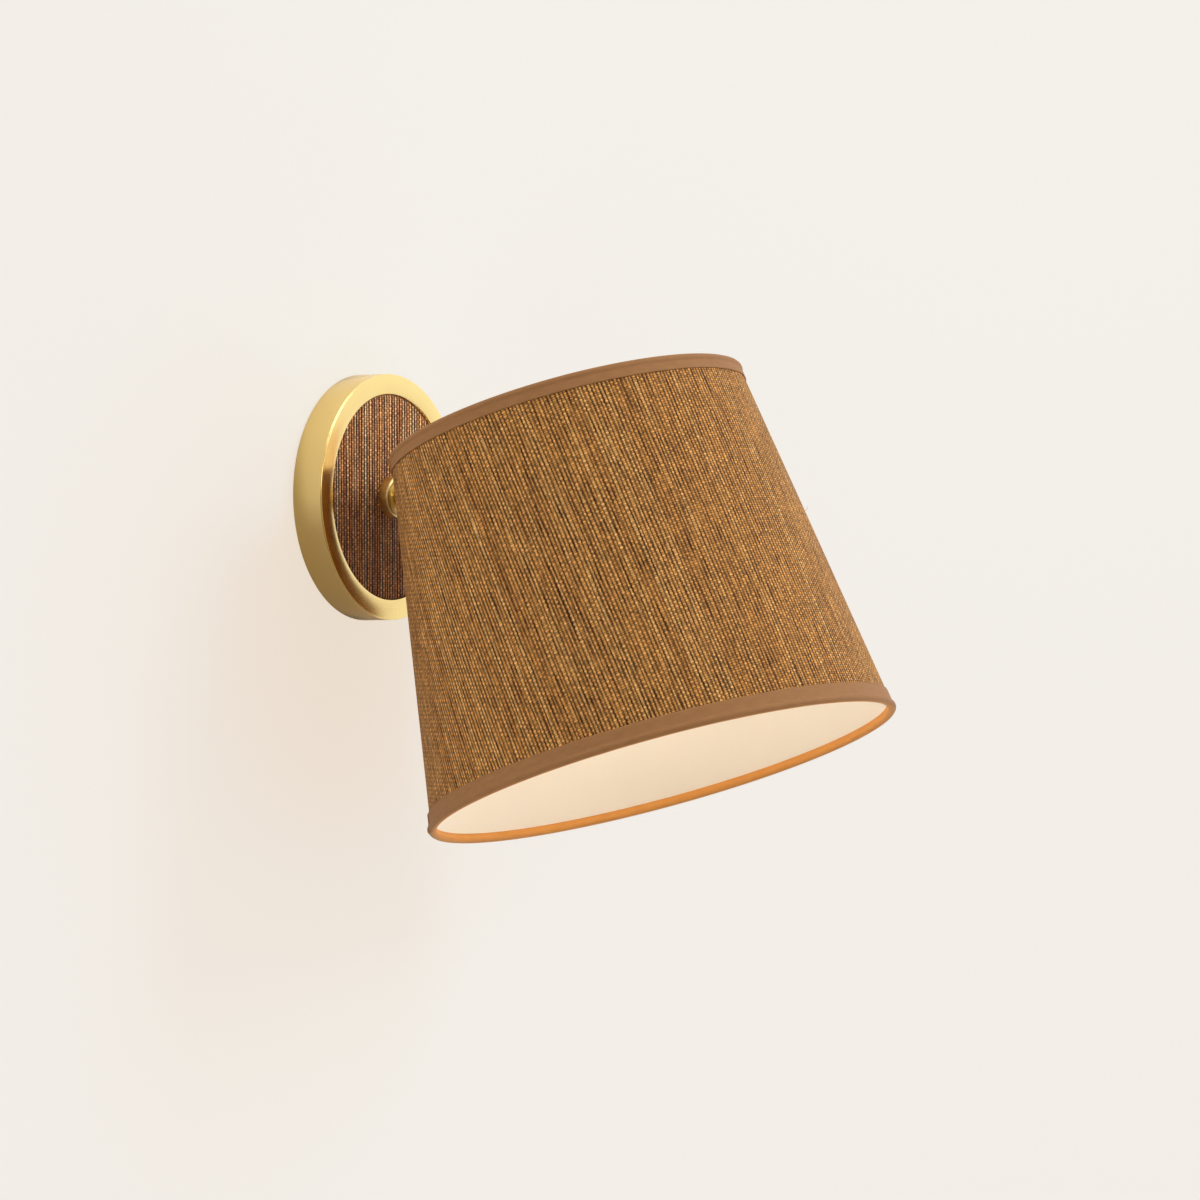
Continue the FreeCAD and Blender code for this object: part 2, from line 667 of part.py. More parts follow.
def make_leads():
    """Two insulated leads: along the bottom of the arm tube, then up to the terminal screws."""
    across = S.leadRadius.number + S.glueGap.number
    free = ARM_BORE.number - S.leadRadius.number - S.glueGap.number
    low = -math.sqrt(free ** 2 - across ** 2)
    start = (ARM_START + S.spigotLength).number + S.leadRadius.number
    end = (ARM_END + S.leadPast).number
    tilt = FreeCAD.Placement(FreeCAD.Vector(0, -TOP_DEPTH.number, TOP_HEIGHT.number),
                             FreeCAD.Rotation(RIGHT, 180 - S.shadeTilt.number))
    over = S.holderDrop.number - S.terminalHeadHeight.number - S.leadRadius.number - S.glueGap.number
    leads = []
    for side in (-1, 1):
        screw = side * S.terminalPlace.number
        points = [FreeCAD.Vector(side * across, -start, low), FreeCAD.Vector(side * across, -end, low),
                  tilt.multVec(FreeCAD.Vector(screw / 2, -screw * side / 2, over)),
                  tilt.multVec(FreeCAD.Vector(screw, S.terminalHeadRadius.number, over))]
        path = rounded_path(points)
        ring = Part.Wire(Part.makeCircle(S.leadRadius.number, points[0], FreeCAD.Vector(0, -1, 0)))
        leads.append(path.makePipeShell([ring], True, False))
    made = piece("Part::Feature", "arm_leads")
    made.Shape = Part.makeCompound(leads)
    made.Placement = FreeCAD.Placement()


# ---- shade ----

def skin(name, outer, inner):
    """One layer of the shade's wall, between its two wires, with the hole for the arm."""
    edge = 2 * S.wireRadius + S.glueGap + WIRE_SLANT - S.wireRadius
    top, bottom = edge, SLANT - edge
    sheet = blank("PartDesign::Body", name + "_blank", in_shade)
    turn(sheet, outline([shade_point(top, -outer), shade_point(bottom, -outer),
                         shade_point(bottom, -inner), shade_point(top, -inner)]))
    hole = blank("PartDesign::Body", name + "_hole", through_shade)
    reach = SHADE_WALL + S.armRadius
    turn(hole, rectangle(0, -reach, EYELET_RADIUS + S.seatGap / 2, reach))
    cut(name, sheet, hole)


def make_wire(name, slant):
    radius, drop = shade_point(slant, -S.wireInset)
    ring = piece("Part::Torus", name, in_shade)
    bind(ring, "Radius1", radius)
    bind(ring, "Radius2", S.wireRadius)
    bind(ring, "Placement.Base.y", -(TOP_DEPTH + drop * SIN_TILT))
    bind(ring, "Placement.Base.z", TOP_HEIGHT - drop * COS_TILT)


def trim_outline(edge, way, band):
    """A tape glued over the shade's edge: a band outside, round the wire, and a fold inside.

    edge is the slant of the shade's edge, and way is 1 where the tape runs down from it, or -1."""
    inner = S.wireRadius + S.glueGap
    outer = inner + S.trimThickness
    middle = edge + way * WIRE_SLANT
    centre = shade_point(middle, -S.wireInset)

    def on_tape(out, radius):
        """Where a face of the tape at this distance from the cover's face meets the wire's arc."""
        side = out + S.wireInset
        return shade_point(middle + way * root(radius * radius - side * side), out)

    face = S.glueGap
    lining = -SHADE_WALL - S.glueGap
    fold = edge + way * S.trimTurn
    end = edge + way * band
    outer_start = on_tape(face + S.trimThickness, outer)
    inner_start = on_tape(lining, inner)
    return outline([shade_point(end, face + S.trimThickness), (*outer_start, arc(centre, outer, way * -1)),
                    on_tape(lining - S.trimThickness, outer), shade_point(fold, lining - S.trimThickness),
                    shade_point(fold, lining), (*inner_start, arc(centre, inner, way)),
                    on_tape(face, inner), shade_point(end, face)])


def make_trims():
    radius, drop = shade_point(WIRE_SLANT, -S.wireInset)
    top = piece("PartDesign::Body", "top_trim", in_shade)
    turn(top, trim_outline(as_size(0), 1, S.topTrim))
    notch = sketch(top, "XZ_Plane", circle(0, drop, S.wireRadius + S.seatGap))
    slit = pocket(top, notch, length=radius)
    around(top, slit, RODS)
    bottom = piece("PartDesign::Body", "bottom_trim", in_shade)
    turn(bottom, trim_outline(SLANT, -1, S.bottomTrim))


def make_eyelet():
    body = piece("PartDesign::Body", "arm_eyelet", through_shade)
    bore = S.armRadius + S.eyeletGap
    rim = EYELET_RADIUS + S.eyeletRim
    half = SHADE_WALL / 2
    seat = half + S.eyeletStand
    back = seat + S.eyeletRimThickness
    turn(body, outline([(bore, -half - S.eyeletWall), (EYELET_RADIUS, -half - S.eyeletWall),
                        (EYELET_RADIUS, seat), (rim, seat), (rim, back), (bore, back)]))


def make_spider():
    """A hub over the socket's stud, and three rods out to the top wire."""
    hub = blank("PartDesign::Body", "spider_hub", in_shade)
    turn(hub, rectangle(S.studRadius + S.seatGap, HUB_TOP, S.hubRadius, S.cupTopDrop))
    level = ((HUB_TOP + S.cupTopDrop) / 2).number
    radius, drop = shade_point(WIRE_SLANT, -S.wireInset)
    end = (radius - S.wireRadius - S.glueGap).number
    route = [(S.rodRoot.number, level), (S.rodFlat.number, level),
             (end - S.rodTip.number, drop.number), (end, drop.number)]
    spider = piece("Part::MultiFuse", "spider")
    rods = []
    for number in range(RODS):
        turned = FreeCAD.Rotation(UP, number * 360 / RODS)
        points = [turned.multVec(FreeCAD.Vector(0, out, down)) for out, down in route]
        start = Part.makeCircle(S.wireRadius.number, points[0], points[1] - points[0])
        made = DOC.addObject("Part::Feature", "spider_rod_%d" % number)
        made.Shape = rounded_path(points).makePipeShell([Part.Wire(start)], True, False)
        in_shade(made)
        rods.append(made)
    spider.Shapes = [hub] + rods


# ---- socket and bulb ----

def make_cup():
    """A cap over the lamp holder, with a boss on its side that the arm is brazed into."""
    shell = blank("PartDesign::Body", "cup_shell", in_shade)
    ceiling = S.cupTopDrop + S.cupTopThickness
    hole = S.studRadius + S.threadGap
    turn(shell, outline([(hole, S.cupTopDrop), (S.cupRadius, S.cupTopDrop), (S.cupRadius, CUP_END),
                         (CUP_BORE, CUP_END), (CUP_BORE, ceiling), (hole, ceiling)]))
    start = AXIS_DEPTH - S.cupRadius / COS_TILT - S.bossOut
    boss = bar("cup_boss", off_wall, S.armRadius + S.threadGap + S.bossWall, ARM_END - start)
    bore = bar("cup_bore", off_wall, S.armRadius + S.threadGap, ARM_END - start)
    bind(boss, "Placement.Base.y", -start)
    bind(bore, "Placement.Base.y", -start)
    joined = DOC.addObject("Part::Fuse", "cup_with_boss")
    joined.Base = shell
    joined.Tool = boss
    cut("socket_cup", joined, bore)


def make_stud_and_finial():
    stud = piece("PartDesign::Body", "socket_stud", in_shade)
    ceiling = S.cupTopDrop + S.cupTopThickness
    top = S.cupTopDrop - S.studLength
    head = ceiling + S.studHeadHeight
    turn(stud, outline([(0, top), (S.studRadius, top), (S.studRadius, ceiling),
                        (S.studHeadRadius, ceiling), (S.studHeadRadius, head), (0, head)]))
    finial = piece("PartDesign::Body", "finial", in_shade)
    bore = S.studRadius + S.threadGap
    foot = HUB_TOP - S.finialFoot
    neck = foot - S.finialNeckLength
    middle = neck - root(S.finialBall * S.finialBall - S.finialNeck * S.finialNeck)
    turn(finial, outline([(bore, HUB_TOP), (bore, top - S.seatGap), (0, top - S.seatGap),
                          (0, middle - S.finialBall, arc((0, middle), S.finialBall, 1)),
                          (S.finialNeck, neck), (S.finialNeck, foot), (S.finialBase, foot),
                          (S.finialBase, HUB_TOP)]))


def make_holder():
    body = piece("PartDesign::Body", "lamp_holder", in_shade)
    turn(body, outline([(0, S.holderDrop), (HOLDER_RADIUS, S.holderDrop), (HOLDER_RADIUS, CUP_END),
                        (S.cupRadius, CUP_END), (S.cupRadius, HOLDER_MOUTH), (HOLDER_BORE, HOLDER_MOUTH),
                        (HOLDER_BORE, HOLDER_FLOOR), (0, HOLDER_FLOOR)]))
    hole = S.terminalRadius + S.threadGap
    holes = [circle(side * S.terminalPlace, 0, hole) for side in (-1, 1)]
    pocket(body, sketch(body, "XY_Plane", *holes, lift=S.holderDrop), length=S.terminalLength,
           outward=True)
    shell = piece("PartDesign::Body", "screw_shell", in_shade)
    turn(shell, rectangle(SHELL_BORE, HOLDER_FLOOR, SHELL_RADIUS, HOLDER_MOUTH - S.shellShort))
    contact = piece("PartDesign::Body", "centre_contact", in_shade)
    foot = HOLDER_FLOOR + S.contactFoot
    turn(contact, outline([(0, HOLDER_FLOOR), (S.contactRadius, HOLDER_FLOOR), (S.contactRadius, foot),
                           (S.contactPin, CONTACT_TOP), (0, CONTACT_TOP)]))


def make_terminals():
    screws = []
    for name, side in (("terminal_left", -1), ("terminal_right", 1)):
        body = blank("PartDesign::Body", name, in_shade)
        place = side * S.terminalPlace
        head = sketch(body, "XY_Plane", circle(place, 0, S.terminalHeadRadius),
                      lift=S.holderDrop - S.terminalHeadHeight)
        pad(body, head, S.terminalHeadHeight)
        thread = sketch(body, "XY_Plane", circle(place, 0, S.terminalRadius), lift=S.holderDrop)
        pad(body, thread, S.terminalLength)
        screws.append(body)
    piece("Part::Compound", "terminal_screws").Links = screws


def bulb_side(radius, neck):
    """Where a straight side from the neck touches the round end of the bulb."""
    middle = GLASS_END - S.glassRadius
    rise = middle - neck[1]
    reach = root(neck[0] * neck[0] + rise * rise)
    share = radius / reach
    across = root(1 - share * share)
    touch = radius * (share * neck[0] + across * rise) / reach
    height = radius * (share * rise - across * neck[0]) / reach
    return touch, middle - height


def make_bulb():
    glass = piece("PartDesign::Body", "bulb_glass", in_shade)
    lip = S.capRadius - S.capWall
    middle = (0, GLASS_END - S.glassRadius)
    neck = (S.glassNeckRadius, CAP_END + S.glassNeckLength)
    inner_neck = (S.glassNeckRadius - S.glassWall, neck[1])
    inner_radius = S.glassRadius - S.glassWall
    turn(glass, outline([(lip, CAP_END), neck,
                         (*bulb_side(S.glassRadius, neck), arc(middle, S.glassRadius, 1)),
                         (0, GLASS_END), (0, GLASS_END - S.glassWall, arc(middle, inner_radius, -1)),
                         bulb_side(inner_radius, inner_neck), inner_neck,
                         (lip - S.glassWall, CAP_END)]))
    cap = piece("PartDesign::Body", "bulb_cap", in_shade)
    turn(cap, rectangle(S.capRadius - S.capWall, CAP_START, S.capRadius, CAP_END))
    insulator = piece("PartDesign::Body", "bulb_insulator", in_shade)
    inside = S.capRadius - S.capWall - S.glueGap
    seat = CAP_START + S.insulatorSeat
    turn(insulator, outline([(0, INSULATOR_END), (S.tipRadius, INSULATOR_END), (inside, CAP_START),
                             (inside, seat), (0, seat)]))
    tip = piece("PartDesign::Body", "bulb_contact", in_shade)
    turn(tip, rectangle(0, TIP_END, S.tipRadius, INSULATOR_END))
    column = piece("PartDesign::Body", "bulb_light_source", in_shade)
    board = CAP_END + S.lightBoardUp
    turn(column, outline([(0, seat), (S.driverRadius, seat), (S.driverRadius, board),
                          (S.lightBoardRadius, board), (S.lightBoardRadius, board + S.lightBoardThickness),
                          (0, board + S.lightBoardThickness)]))


def check_and_write():
    """Stop at anything that failed, then write every sub-part to its own file."""
    DOC.recompute()
    for thing in DOC.Objects:
        if "Invalid" in thing.State or "Error" in thing.State:
            raise ValueError("%s is %s" % (thing.Label, thing.State))
    os.makedirs("parts", exist_ok=True)
    for made in PIECES:
        if made.Shape.isNull() or not made.Shape.isValid() or not made.Shape.Solids:
            raise ValueError("%s has no sound shape" % made.Label)
        made.Shape.exportStep("parts/%s.step" % made.Label)
        print("%-18s %d solid, %10.1f mm3" % (made.Label, len(made.Shape.Solids), made.Shape.Volume))


make_bracket()
make_ground_screw()
make_nipple()
make_locknut()
make_canopy()
make_inlay()
make_collar()
make_fork()
make_pivot()
make_washers()
make_tongue()
make_arm()
make_leads()
skin("shade_cover", as_size(0), S.coverThickness)
skin("shade_liner", S.coverThickness, SHADE_WALL)
make_wire("top_wire", WIRE_SLANT)
make_wire("bottom_wire", SLANT - WIRE_SLANT)
make_trims()
make_eyelet()
make_spider()
make_cup()
make_stud_and_finial()
make_holder()
make_terminals()
make_bulb()
check_and_write()
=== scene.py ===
import json
import math

import bmesh
import bpy
from mathutils import Matrix, Vector, noise


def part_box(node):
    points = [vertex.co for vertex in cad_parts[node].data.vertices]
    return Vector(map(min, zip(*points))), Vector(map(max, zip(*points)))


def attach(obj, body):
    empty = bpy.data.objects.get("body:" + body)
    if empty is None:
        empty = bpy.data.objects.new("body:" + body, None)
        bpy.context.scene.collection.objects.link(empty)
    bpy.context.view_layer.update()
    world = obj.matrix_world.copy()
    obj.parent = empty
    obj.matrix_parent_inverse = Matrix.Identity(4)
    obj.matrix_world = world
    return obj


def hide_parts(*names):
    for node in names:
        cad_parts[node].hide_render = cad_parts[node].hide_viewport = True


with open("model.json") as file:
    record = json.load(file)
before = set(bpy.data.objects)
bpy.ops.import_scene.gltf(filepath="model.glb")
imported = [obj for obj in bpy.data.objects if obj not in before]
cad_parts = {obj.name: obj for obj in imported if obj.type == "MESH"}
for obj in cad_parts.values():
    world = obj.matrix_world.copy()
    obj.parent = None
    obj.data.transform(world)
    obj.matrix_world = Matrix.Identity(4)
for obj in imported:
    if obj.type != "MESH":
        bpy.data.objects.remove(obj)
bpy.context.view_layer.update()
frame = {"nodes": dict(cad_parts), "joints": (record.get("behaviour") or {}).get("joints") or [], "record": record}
mm = 0.001
print("frame loaded:", len(frame["nodes"]), "nodes")

# the shade's cone, in millimetres; drops and slants are measured down from its top edge
shade = {
    "topRadius": 91.35,
    "bottomRadius": 120.6,
    "height": 191.7,
    "coverThickness": 0.8,
    "liningThickness": 0.6,
    "wireRadius": 1.4,
    "wireInset": 0.8,
    "glueLine": 0.12,
    "tapeThickness": 0.5,
    "unevenness": 0.16,  # how far the cloth wanders from a true cone
    "wavesRound": 1.7,
    "wavesDown": 9,
    "cutMiddle": -10,  # degrees round from straight out, where the flat cut has its middle
    "armHole": 5.25,
    "sides": 288,
    "rows": 24,
}
shade["flare"] = shade["bottomRadius"] - shade["topRadius"]
shade["slant"] = math.hypot(shade["flare"], shade["height"])
shade["apex"] = shade["topRadius"] * shade["slant"] / shade["flare"]  # from the cone's tip to the top edge
sinFlare = shade["flare"] / shade["slant"]
cosFlare = shade["height"] / shade["slant"]
wireSlant = shade["wireRadius"] + shade["glueLine"] + shade["tapeThickness"]
wallLayers = shade["coverThickness"] + shade["liningThickness"]

joints = {joint["name"]: joint for joint in frame["joints"]}
tilt = math.radians(-joints["head_tilt"]["range_deg"][0])


def middleOf(node):
    low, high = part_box(node)
    return (low + high) / 2


def turnedBy(degrees, axis):
    return Matrix.Rotation(math.radians(degrees), 4, axis)


# own z is the way out from the wall, or the way down the shade's axis from its top edge
wallFrame = turnedBy(90, "X")
shadeDown = (middleOf("bottom_wire") - middleOf("top_wire")).normalized()
ringDrop = (wireSlant * cosFlare + shade["wireInset"] * sinFlare) * mm
shadeTop = middleOf("top_wire") - shadeDown * ringDrop
shadeFrame = Matrix.Translation(shadeTop) @ Matrix.Rotation(math.pi - tilt, 4, "X")


def tone(red, green, blue):
    # a colour as it should look, 0 to 255, in the shader's own linear numbers
    parts = [part / 255 for part in (red, green, blue)]
    return tuple(p / 12.92 if p < 0.04 else ((p + 0.055) / 1.055) ** 2.4 for p in parts) + (1.0,)


stageLook = {
    "wall": tone(244, 241, 236),
    "wallGap": 0.3,  # behind the plate, in millimetres
    "wallHole": 61.0,  # the wall is open behind the plate, where its box would be
    "wallReach": 6.0,  # metres
    "wallSides": 96,
    "wallShadows": (0.12, 0.24, 0.34),  # share of the shadows that the camera sees in each colour
    "sky": 0.69,
    "skySlope": (0.42, 0.0, 0.2),  # brighter to the right and above
    "skyColour": (1.0, 0.99, 0.975, 1.0),
    "bulbPower": 4.4,
    "bulbSeen": 0.25,
    "bulbColour": (1.0, 0.96, 0.89),
}


class Nodes:
    # short calls for the nodes of one tree
    def __init__(self, tree):
        self.nodes, self.links = tree.nodes, tree.links

    def feed(self, socket, value):
        if isinstance(value, bpy.types.NodeSocket):
            self.links.new(value, socket)
        else:
            socket.default_value = value

    def node(self, kind, inputs=(), **settings):
        # the outputs of a new node, whose inputs are fed by name or place
        made = self.nodes.new(kind)
        for key, value in settings.items():
            setattr(made, key, value)
        for key, value in dict(inputs).items():
            self.feed(made.inputs[key], value)
        return made.outputs

    def math(self, how, *values):
        return self.node("ShaderNodeMath", enumerate(values), operation=how)[0]

    def times(self, first, second):
        return self.math("MULTIPLY", first, second)

    def plus(self, first, second):
        return self.math("ADD", first, second)

    def line(self, value, slope, base):
        return self.math("MULTIPLY_ADD", value, slope, base)

    def held(self, value):
        # kept between 0 and 1
        return self.math("MINIMUM", self.math("MAXIMUM", value, 0.0), 1.0)

    def scaled(self, value, low, high):
        # 0 to 1 spread over low to high
        return self.line(value, high - low, low)

    def mix(self, share, first, second, how="MIX"):
        inputs = {0: share, 6: first, 7: second}
        return self.node("ShaderNodeMix", inputs, data_type="RGBA", blend_type=how)[2]

    def weigh(self, colour, weight):
        return self.mix(1.0, colour, self.vector(weight, weight, weight), "MULTIPLY")

    def ramp(self, value, *stops):
        made = self.nodes.new("ShaderNodeValToRGB")
        elements = made.color_ramp.elements
        while len(elements) < len(stops):
            elements.new(0.5)
        for element, (place, colour) in zip(elements, stops):
            element.position, element.color = place, colour
        self.feed(made.inputs[0], value)
        return made.outputs[0]

    def noise(self, vector, scale, detail=2.0, roughness=0.5, warp=0.0):
        inputs = {"Vector": vector, "Scale": scale, "Detail": detail, "Roughness": roughness}
        return self.node("ShaderNodeTexNoise", {**inputs, "Distortion": warp})["Fac"]

    def chance(self, vector):
        return self.node("ShaderNodeTexWhiteNoise", {"Vector": vector}, noise_dimensions="2D")["Value"]

    def vector(self, x=0.0, y=0.0, z=0.0):
        return self.node("ShaderNodeCombineXYZ", enumerate((x, y, z)))[0]

    def parts(self, vector):
        return self.node("ShaderNodeSeparateXYZ", {0: vector})

    def place(self, own=None):
        # object coordinates, in the frame that a piece was turned in
        found = self.node("ShaderNodeTexCoord")["Object"]
        if own is None:
            return found
        inputs = {"Vector": found, "Location": own.to_translation(), "Rotation": own.to_euler()}
        return self.node("ShaderNodeMapping", inputs, vector_type="TEXTURE")[0]

    def cut(self):
        # place on the flat cloth before it was rolled or folded, in metres
        return self.node("ShaderNodeUVMap", uv_map="cut")[0]


class Finish(Nodes):
    # one material under construction
    def __init__(self, name, roughness=0.5, metallic=0.0):
        self.material = bpy.data.materials.new(name)
        self.material.use_nodes = True
        super().__init__(self.material.node_tree)
        self.shader = self.nodes["Principled BSDF"]
        self.set("Roughness", roughness)
        self.set("Metallic", metallic)

    def set(self, socket, value):
        self.feed(self.shader.inputs[socket], value)

    def tint(self, share, look):
        self.set("Base Color", self.mix(share, look["dark"], look["light"]))

    def rough(self, value, low, high):
        self.set("Roughness", self.scaled(value, low, high))

    def relief(self, height, distance, strength=1.0):
        inputs = {"Strength": strength, "Distance": distance, "Height": height}
        self.set("Normal", self.node("ShaderNodeBump", inputs)[0])


def turnedMetal(name, own, look):
    # metal with the fine rings that a lathe leaves round the piece's own axis
    finish = Finish(name, metallic=1.0)
    here = finish.place(own)
    x, y, z = finish.parts(here)
    reach = finish.math("SQRT", finish.plus(finish.times(x, x), finish.times(y, y)))
    rings = finish.noise(finish.vector(reach, z), look["rings"], 3.0, 0.6)
    clouds = finish.noise(here, look["clouds"])
    rubs = finish.noise(here, look["rubs"], 4.0, 0.65, 0.6)
    polish = finish.plus(finish.scaled(rings, -0.5, 0.5), finish.scaled(clouds, -0.4, 0.4))
    polish = finish.plus(polish, finish.scaled(rubs, -0.3, 0.3))
    finish.tint(clouds, look)
    finish.set("Roughness", finish.line(polish, look["spread"], look["roughness"]))
    finish.relief(rings, look["marks"] * mm, 0.25)
    return finish.material


satinLook = {
    "light": tone(252, 227, 156),
    "dark": tone(243, 214, 142),
    "rings": 1500.0,
    "clouds": 24.0,
    "rubs": 260.0,
    "roughness": 0.21,
    "spread": 0.10,  # how much the roughness varies
    "marks": 0.006,  # depth of the rings, in millimetres
}
collarLook = dict(satinLook, roughness=0.36)
contactLook = dict(satinLook, light=tone(238, 196, 112), dark=tone(206, 160, 84), roughness=0.3)
zincLook = dict(satinLook, light=tone(214, 216, 216), dark=tone(168, 172, 176), clouds=260.0,
                roughness=0.36)
solderLook = dict(zincLook, light=tone(196, 198, 198), dark=tone(150, 152, 154), roughness=0.42)

paintSkin = {"clouds": 90.0, "grain": 900.0, "spread": 0.08, "depth": 0.02}
# light tone, dark tone and roughness of what is painted, moulded or fired
paints = {
    "green_screw": ("greenScrew", (56, 128, 74), (34, 92, 52), 0.35),
    "white_wire": ("whiteWire", (240, 238, 232), (228, 224, 214), 0.42),
    "black_moulding": ("blackMoulding", (44, 41, 38), (26, 24, 23), 0.4),
    "nylon": ("nylonWasher", (232, 228, 216), (216, 210, 196), 0.5),
    "black_glass": ("blackGlass", (40, 36, 42), (22, 20, 24), 0.16),
    "bulb_inside": ("bulbInside", (236, 234, 226), (222, 218, 206), 0.6),
}


def paint(name, light, dark, roughness):
    # a faint skin, and tones that drift a little
    finish = Finish(name, roughness)
    here = finish.place()
    clouds = finish.noise(here, paintSkin["clouds"], 3.0, 0.55)
    skin = finish.noise(here, paintSkin["grain"])
    finish.set("Base Color", finish.mix(clouds, tone(*dark), tone(*light)))
    spread = paintSkin["spread"]
    finish.rough(skin, roughness - spread, roughness + spread)
    finish.relief(skin, paintSkin["depth"] * mm, 0.5)
    return finish.material


# a plain weave: uneven yarns run up and down, with fine even ones across them
weave = {
    "weftPitch": 1.22,  # millimetres
    "slubs": 0.12,  # how much a warp yarn's width varies along it
    "weftHalf": 0.47,  # half a weft yarn's width, in pitches
    "pressedShade": 0.60,  # painted shade: how much darker a warp yarn is between two weft yarns
    "crimp": 0.22,  # how far it rises over one weft yarn and dives under the next, in the relief and as painted light and shade
    "swell": 0.35,  # how much wider it looks where it rises
    "crisp": 14.0,  # how sharply it ends at its sides
    "sideShade": 0.45,  # painted shade: its tone at its rounded sides, as a share of that on top
    "fibres": 0.2,  # how much its fibres change its tone
    "lot": 7.3,  # picks the tones of the single yarns
    "uneven": 0.32,  # how much one crossing differs from the next
    "specks": 1.15,
    "gaps": 1.25,  # how suddenly the gaps open and close
    "weftSeen": 0.8,  # how much of the weft shows in an open gap
    "closed": (0.15, 0.6),  # painted shade: tones of a closed gap, between the weft yarns and on them
    "roughness": (0.62, 0.86),
    "relief": 0.45,  # millimetres
}
# noises drawn out along the yarns: scale across, scale along, layer, detail, roughness and size
grain = {
    "stray": (1.0, 0.03, 0.0, 2.0, 0.6, 0.9),
    "slubs": (3.7, 0.10, 0.0, 3.0, 0.65, 1.0),
    "fibres": (7.0, 0.9, 0.0, 2.0, 0.6, 1.0),
    "streaks": (1.9, 0.04, 4.0, 3.0, 0.7, 1.0),
    "specks": (3.4, 1.9, 2.0, 2.0, 0.7, 1.0),
    "gaps": (2.3, 0.07, 9.0, 3.0, 0.7, 1.0),
}
coverYarns = {
    "warpPitch": 2.0,
    "half": 0.31,  # half a warp yarn's width, in pitches
    "light": tone(255, 206, 130),
    "middle": tone(230, 162, 84),
    "dark": tone(186, 118, 50),
    "weft": tone(92, 50, 12),
    # near black: painted shade deep in the gaps between yarns
    "gap": tone(18, 7, 1),
    "spread": 0.38,  # how much the yarns differ from each other
    "streaks": 0.3,  # how much each one changes along its length
    "wander": 0.24,  # how far a warp yarn strays, in pitches
    "open": 0.64,  # share of the gaps between warp yarns that stand open
}
inlayYarns = {
    "warpPitch": 2.3,
    "half": 0.26,
    "light": tone(255, 228, 178),
    "middle": tone(255, 190, 124),
    "dark": tone(188, 104, 58),
    "weft": tone(76, 38, 20),
    # near black: painted shade deep in the gaps between yarns
    "gap": tone(12, 4, 2),
    "spread": 0.75,
    "streaks": 0.5,
    "wander": 0.0,  # its yarns stray in the mesh itself
    "open": 0.95,
}


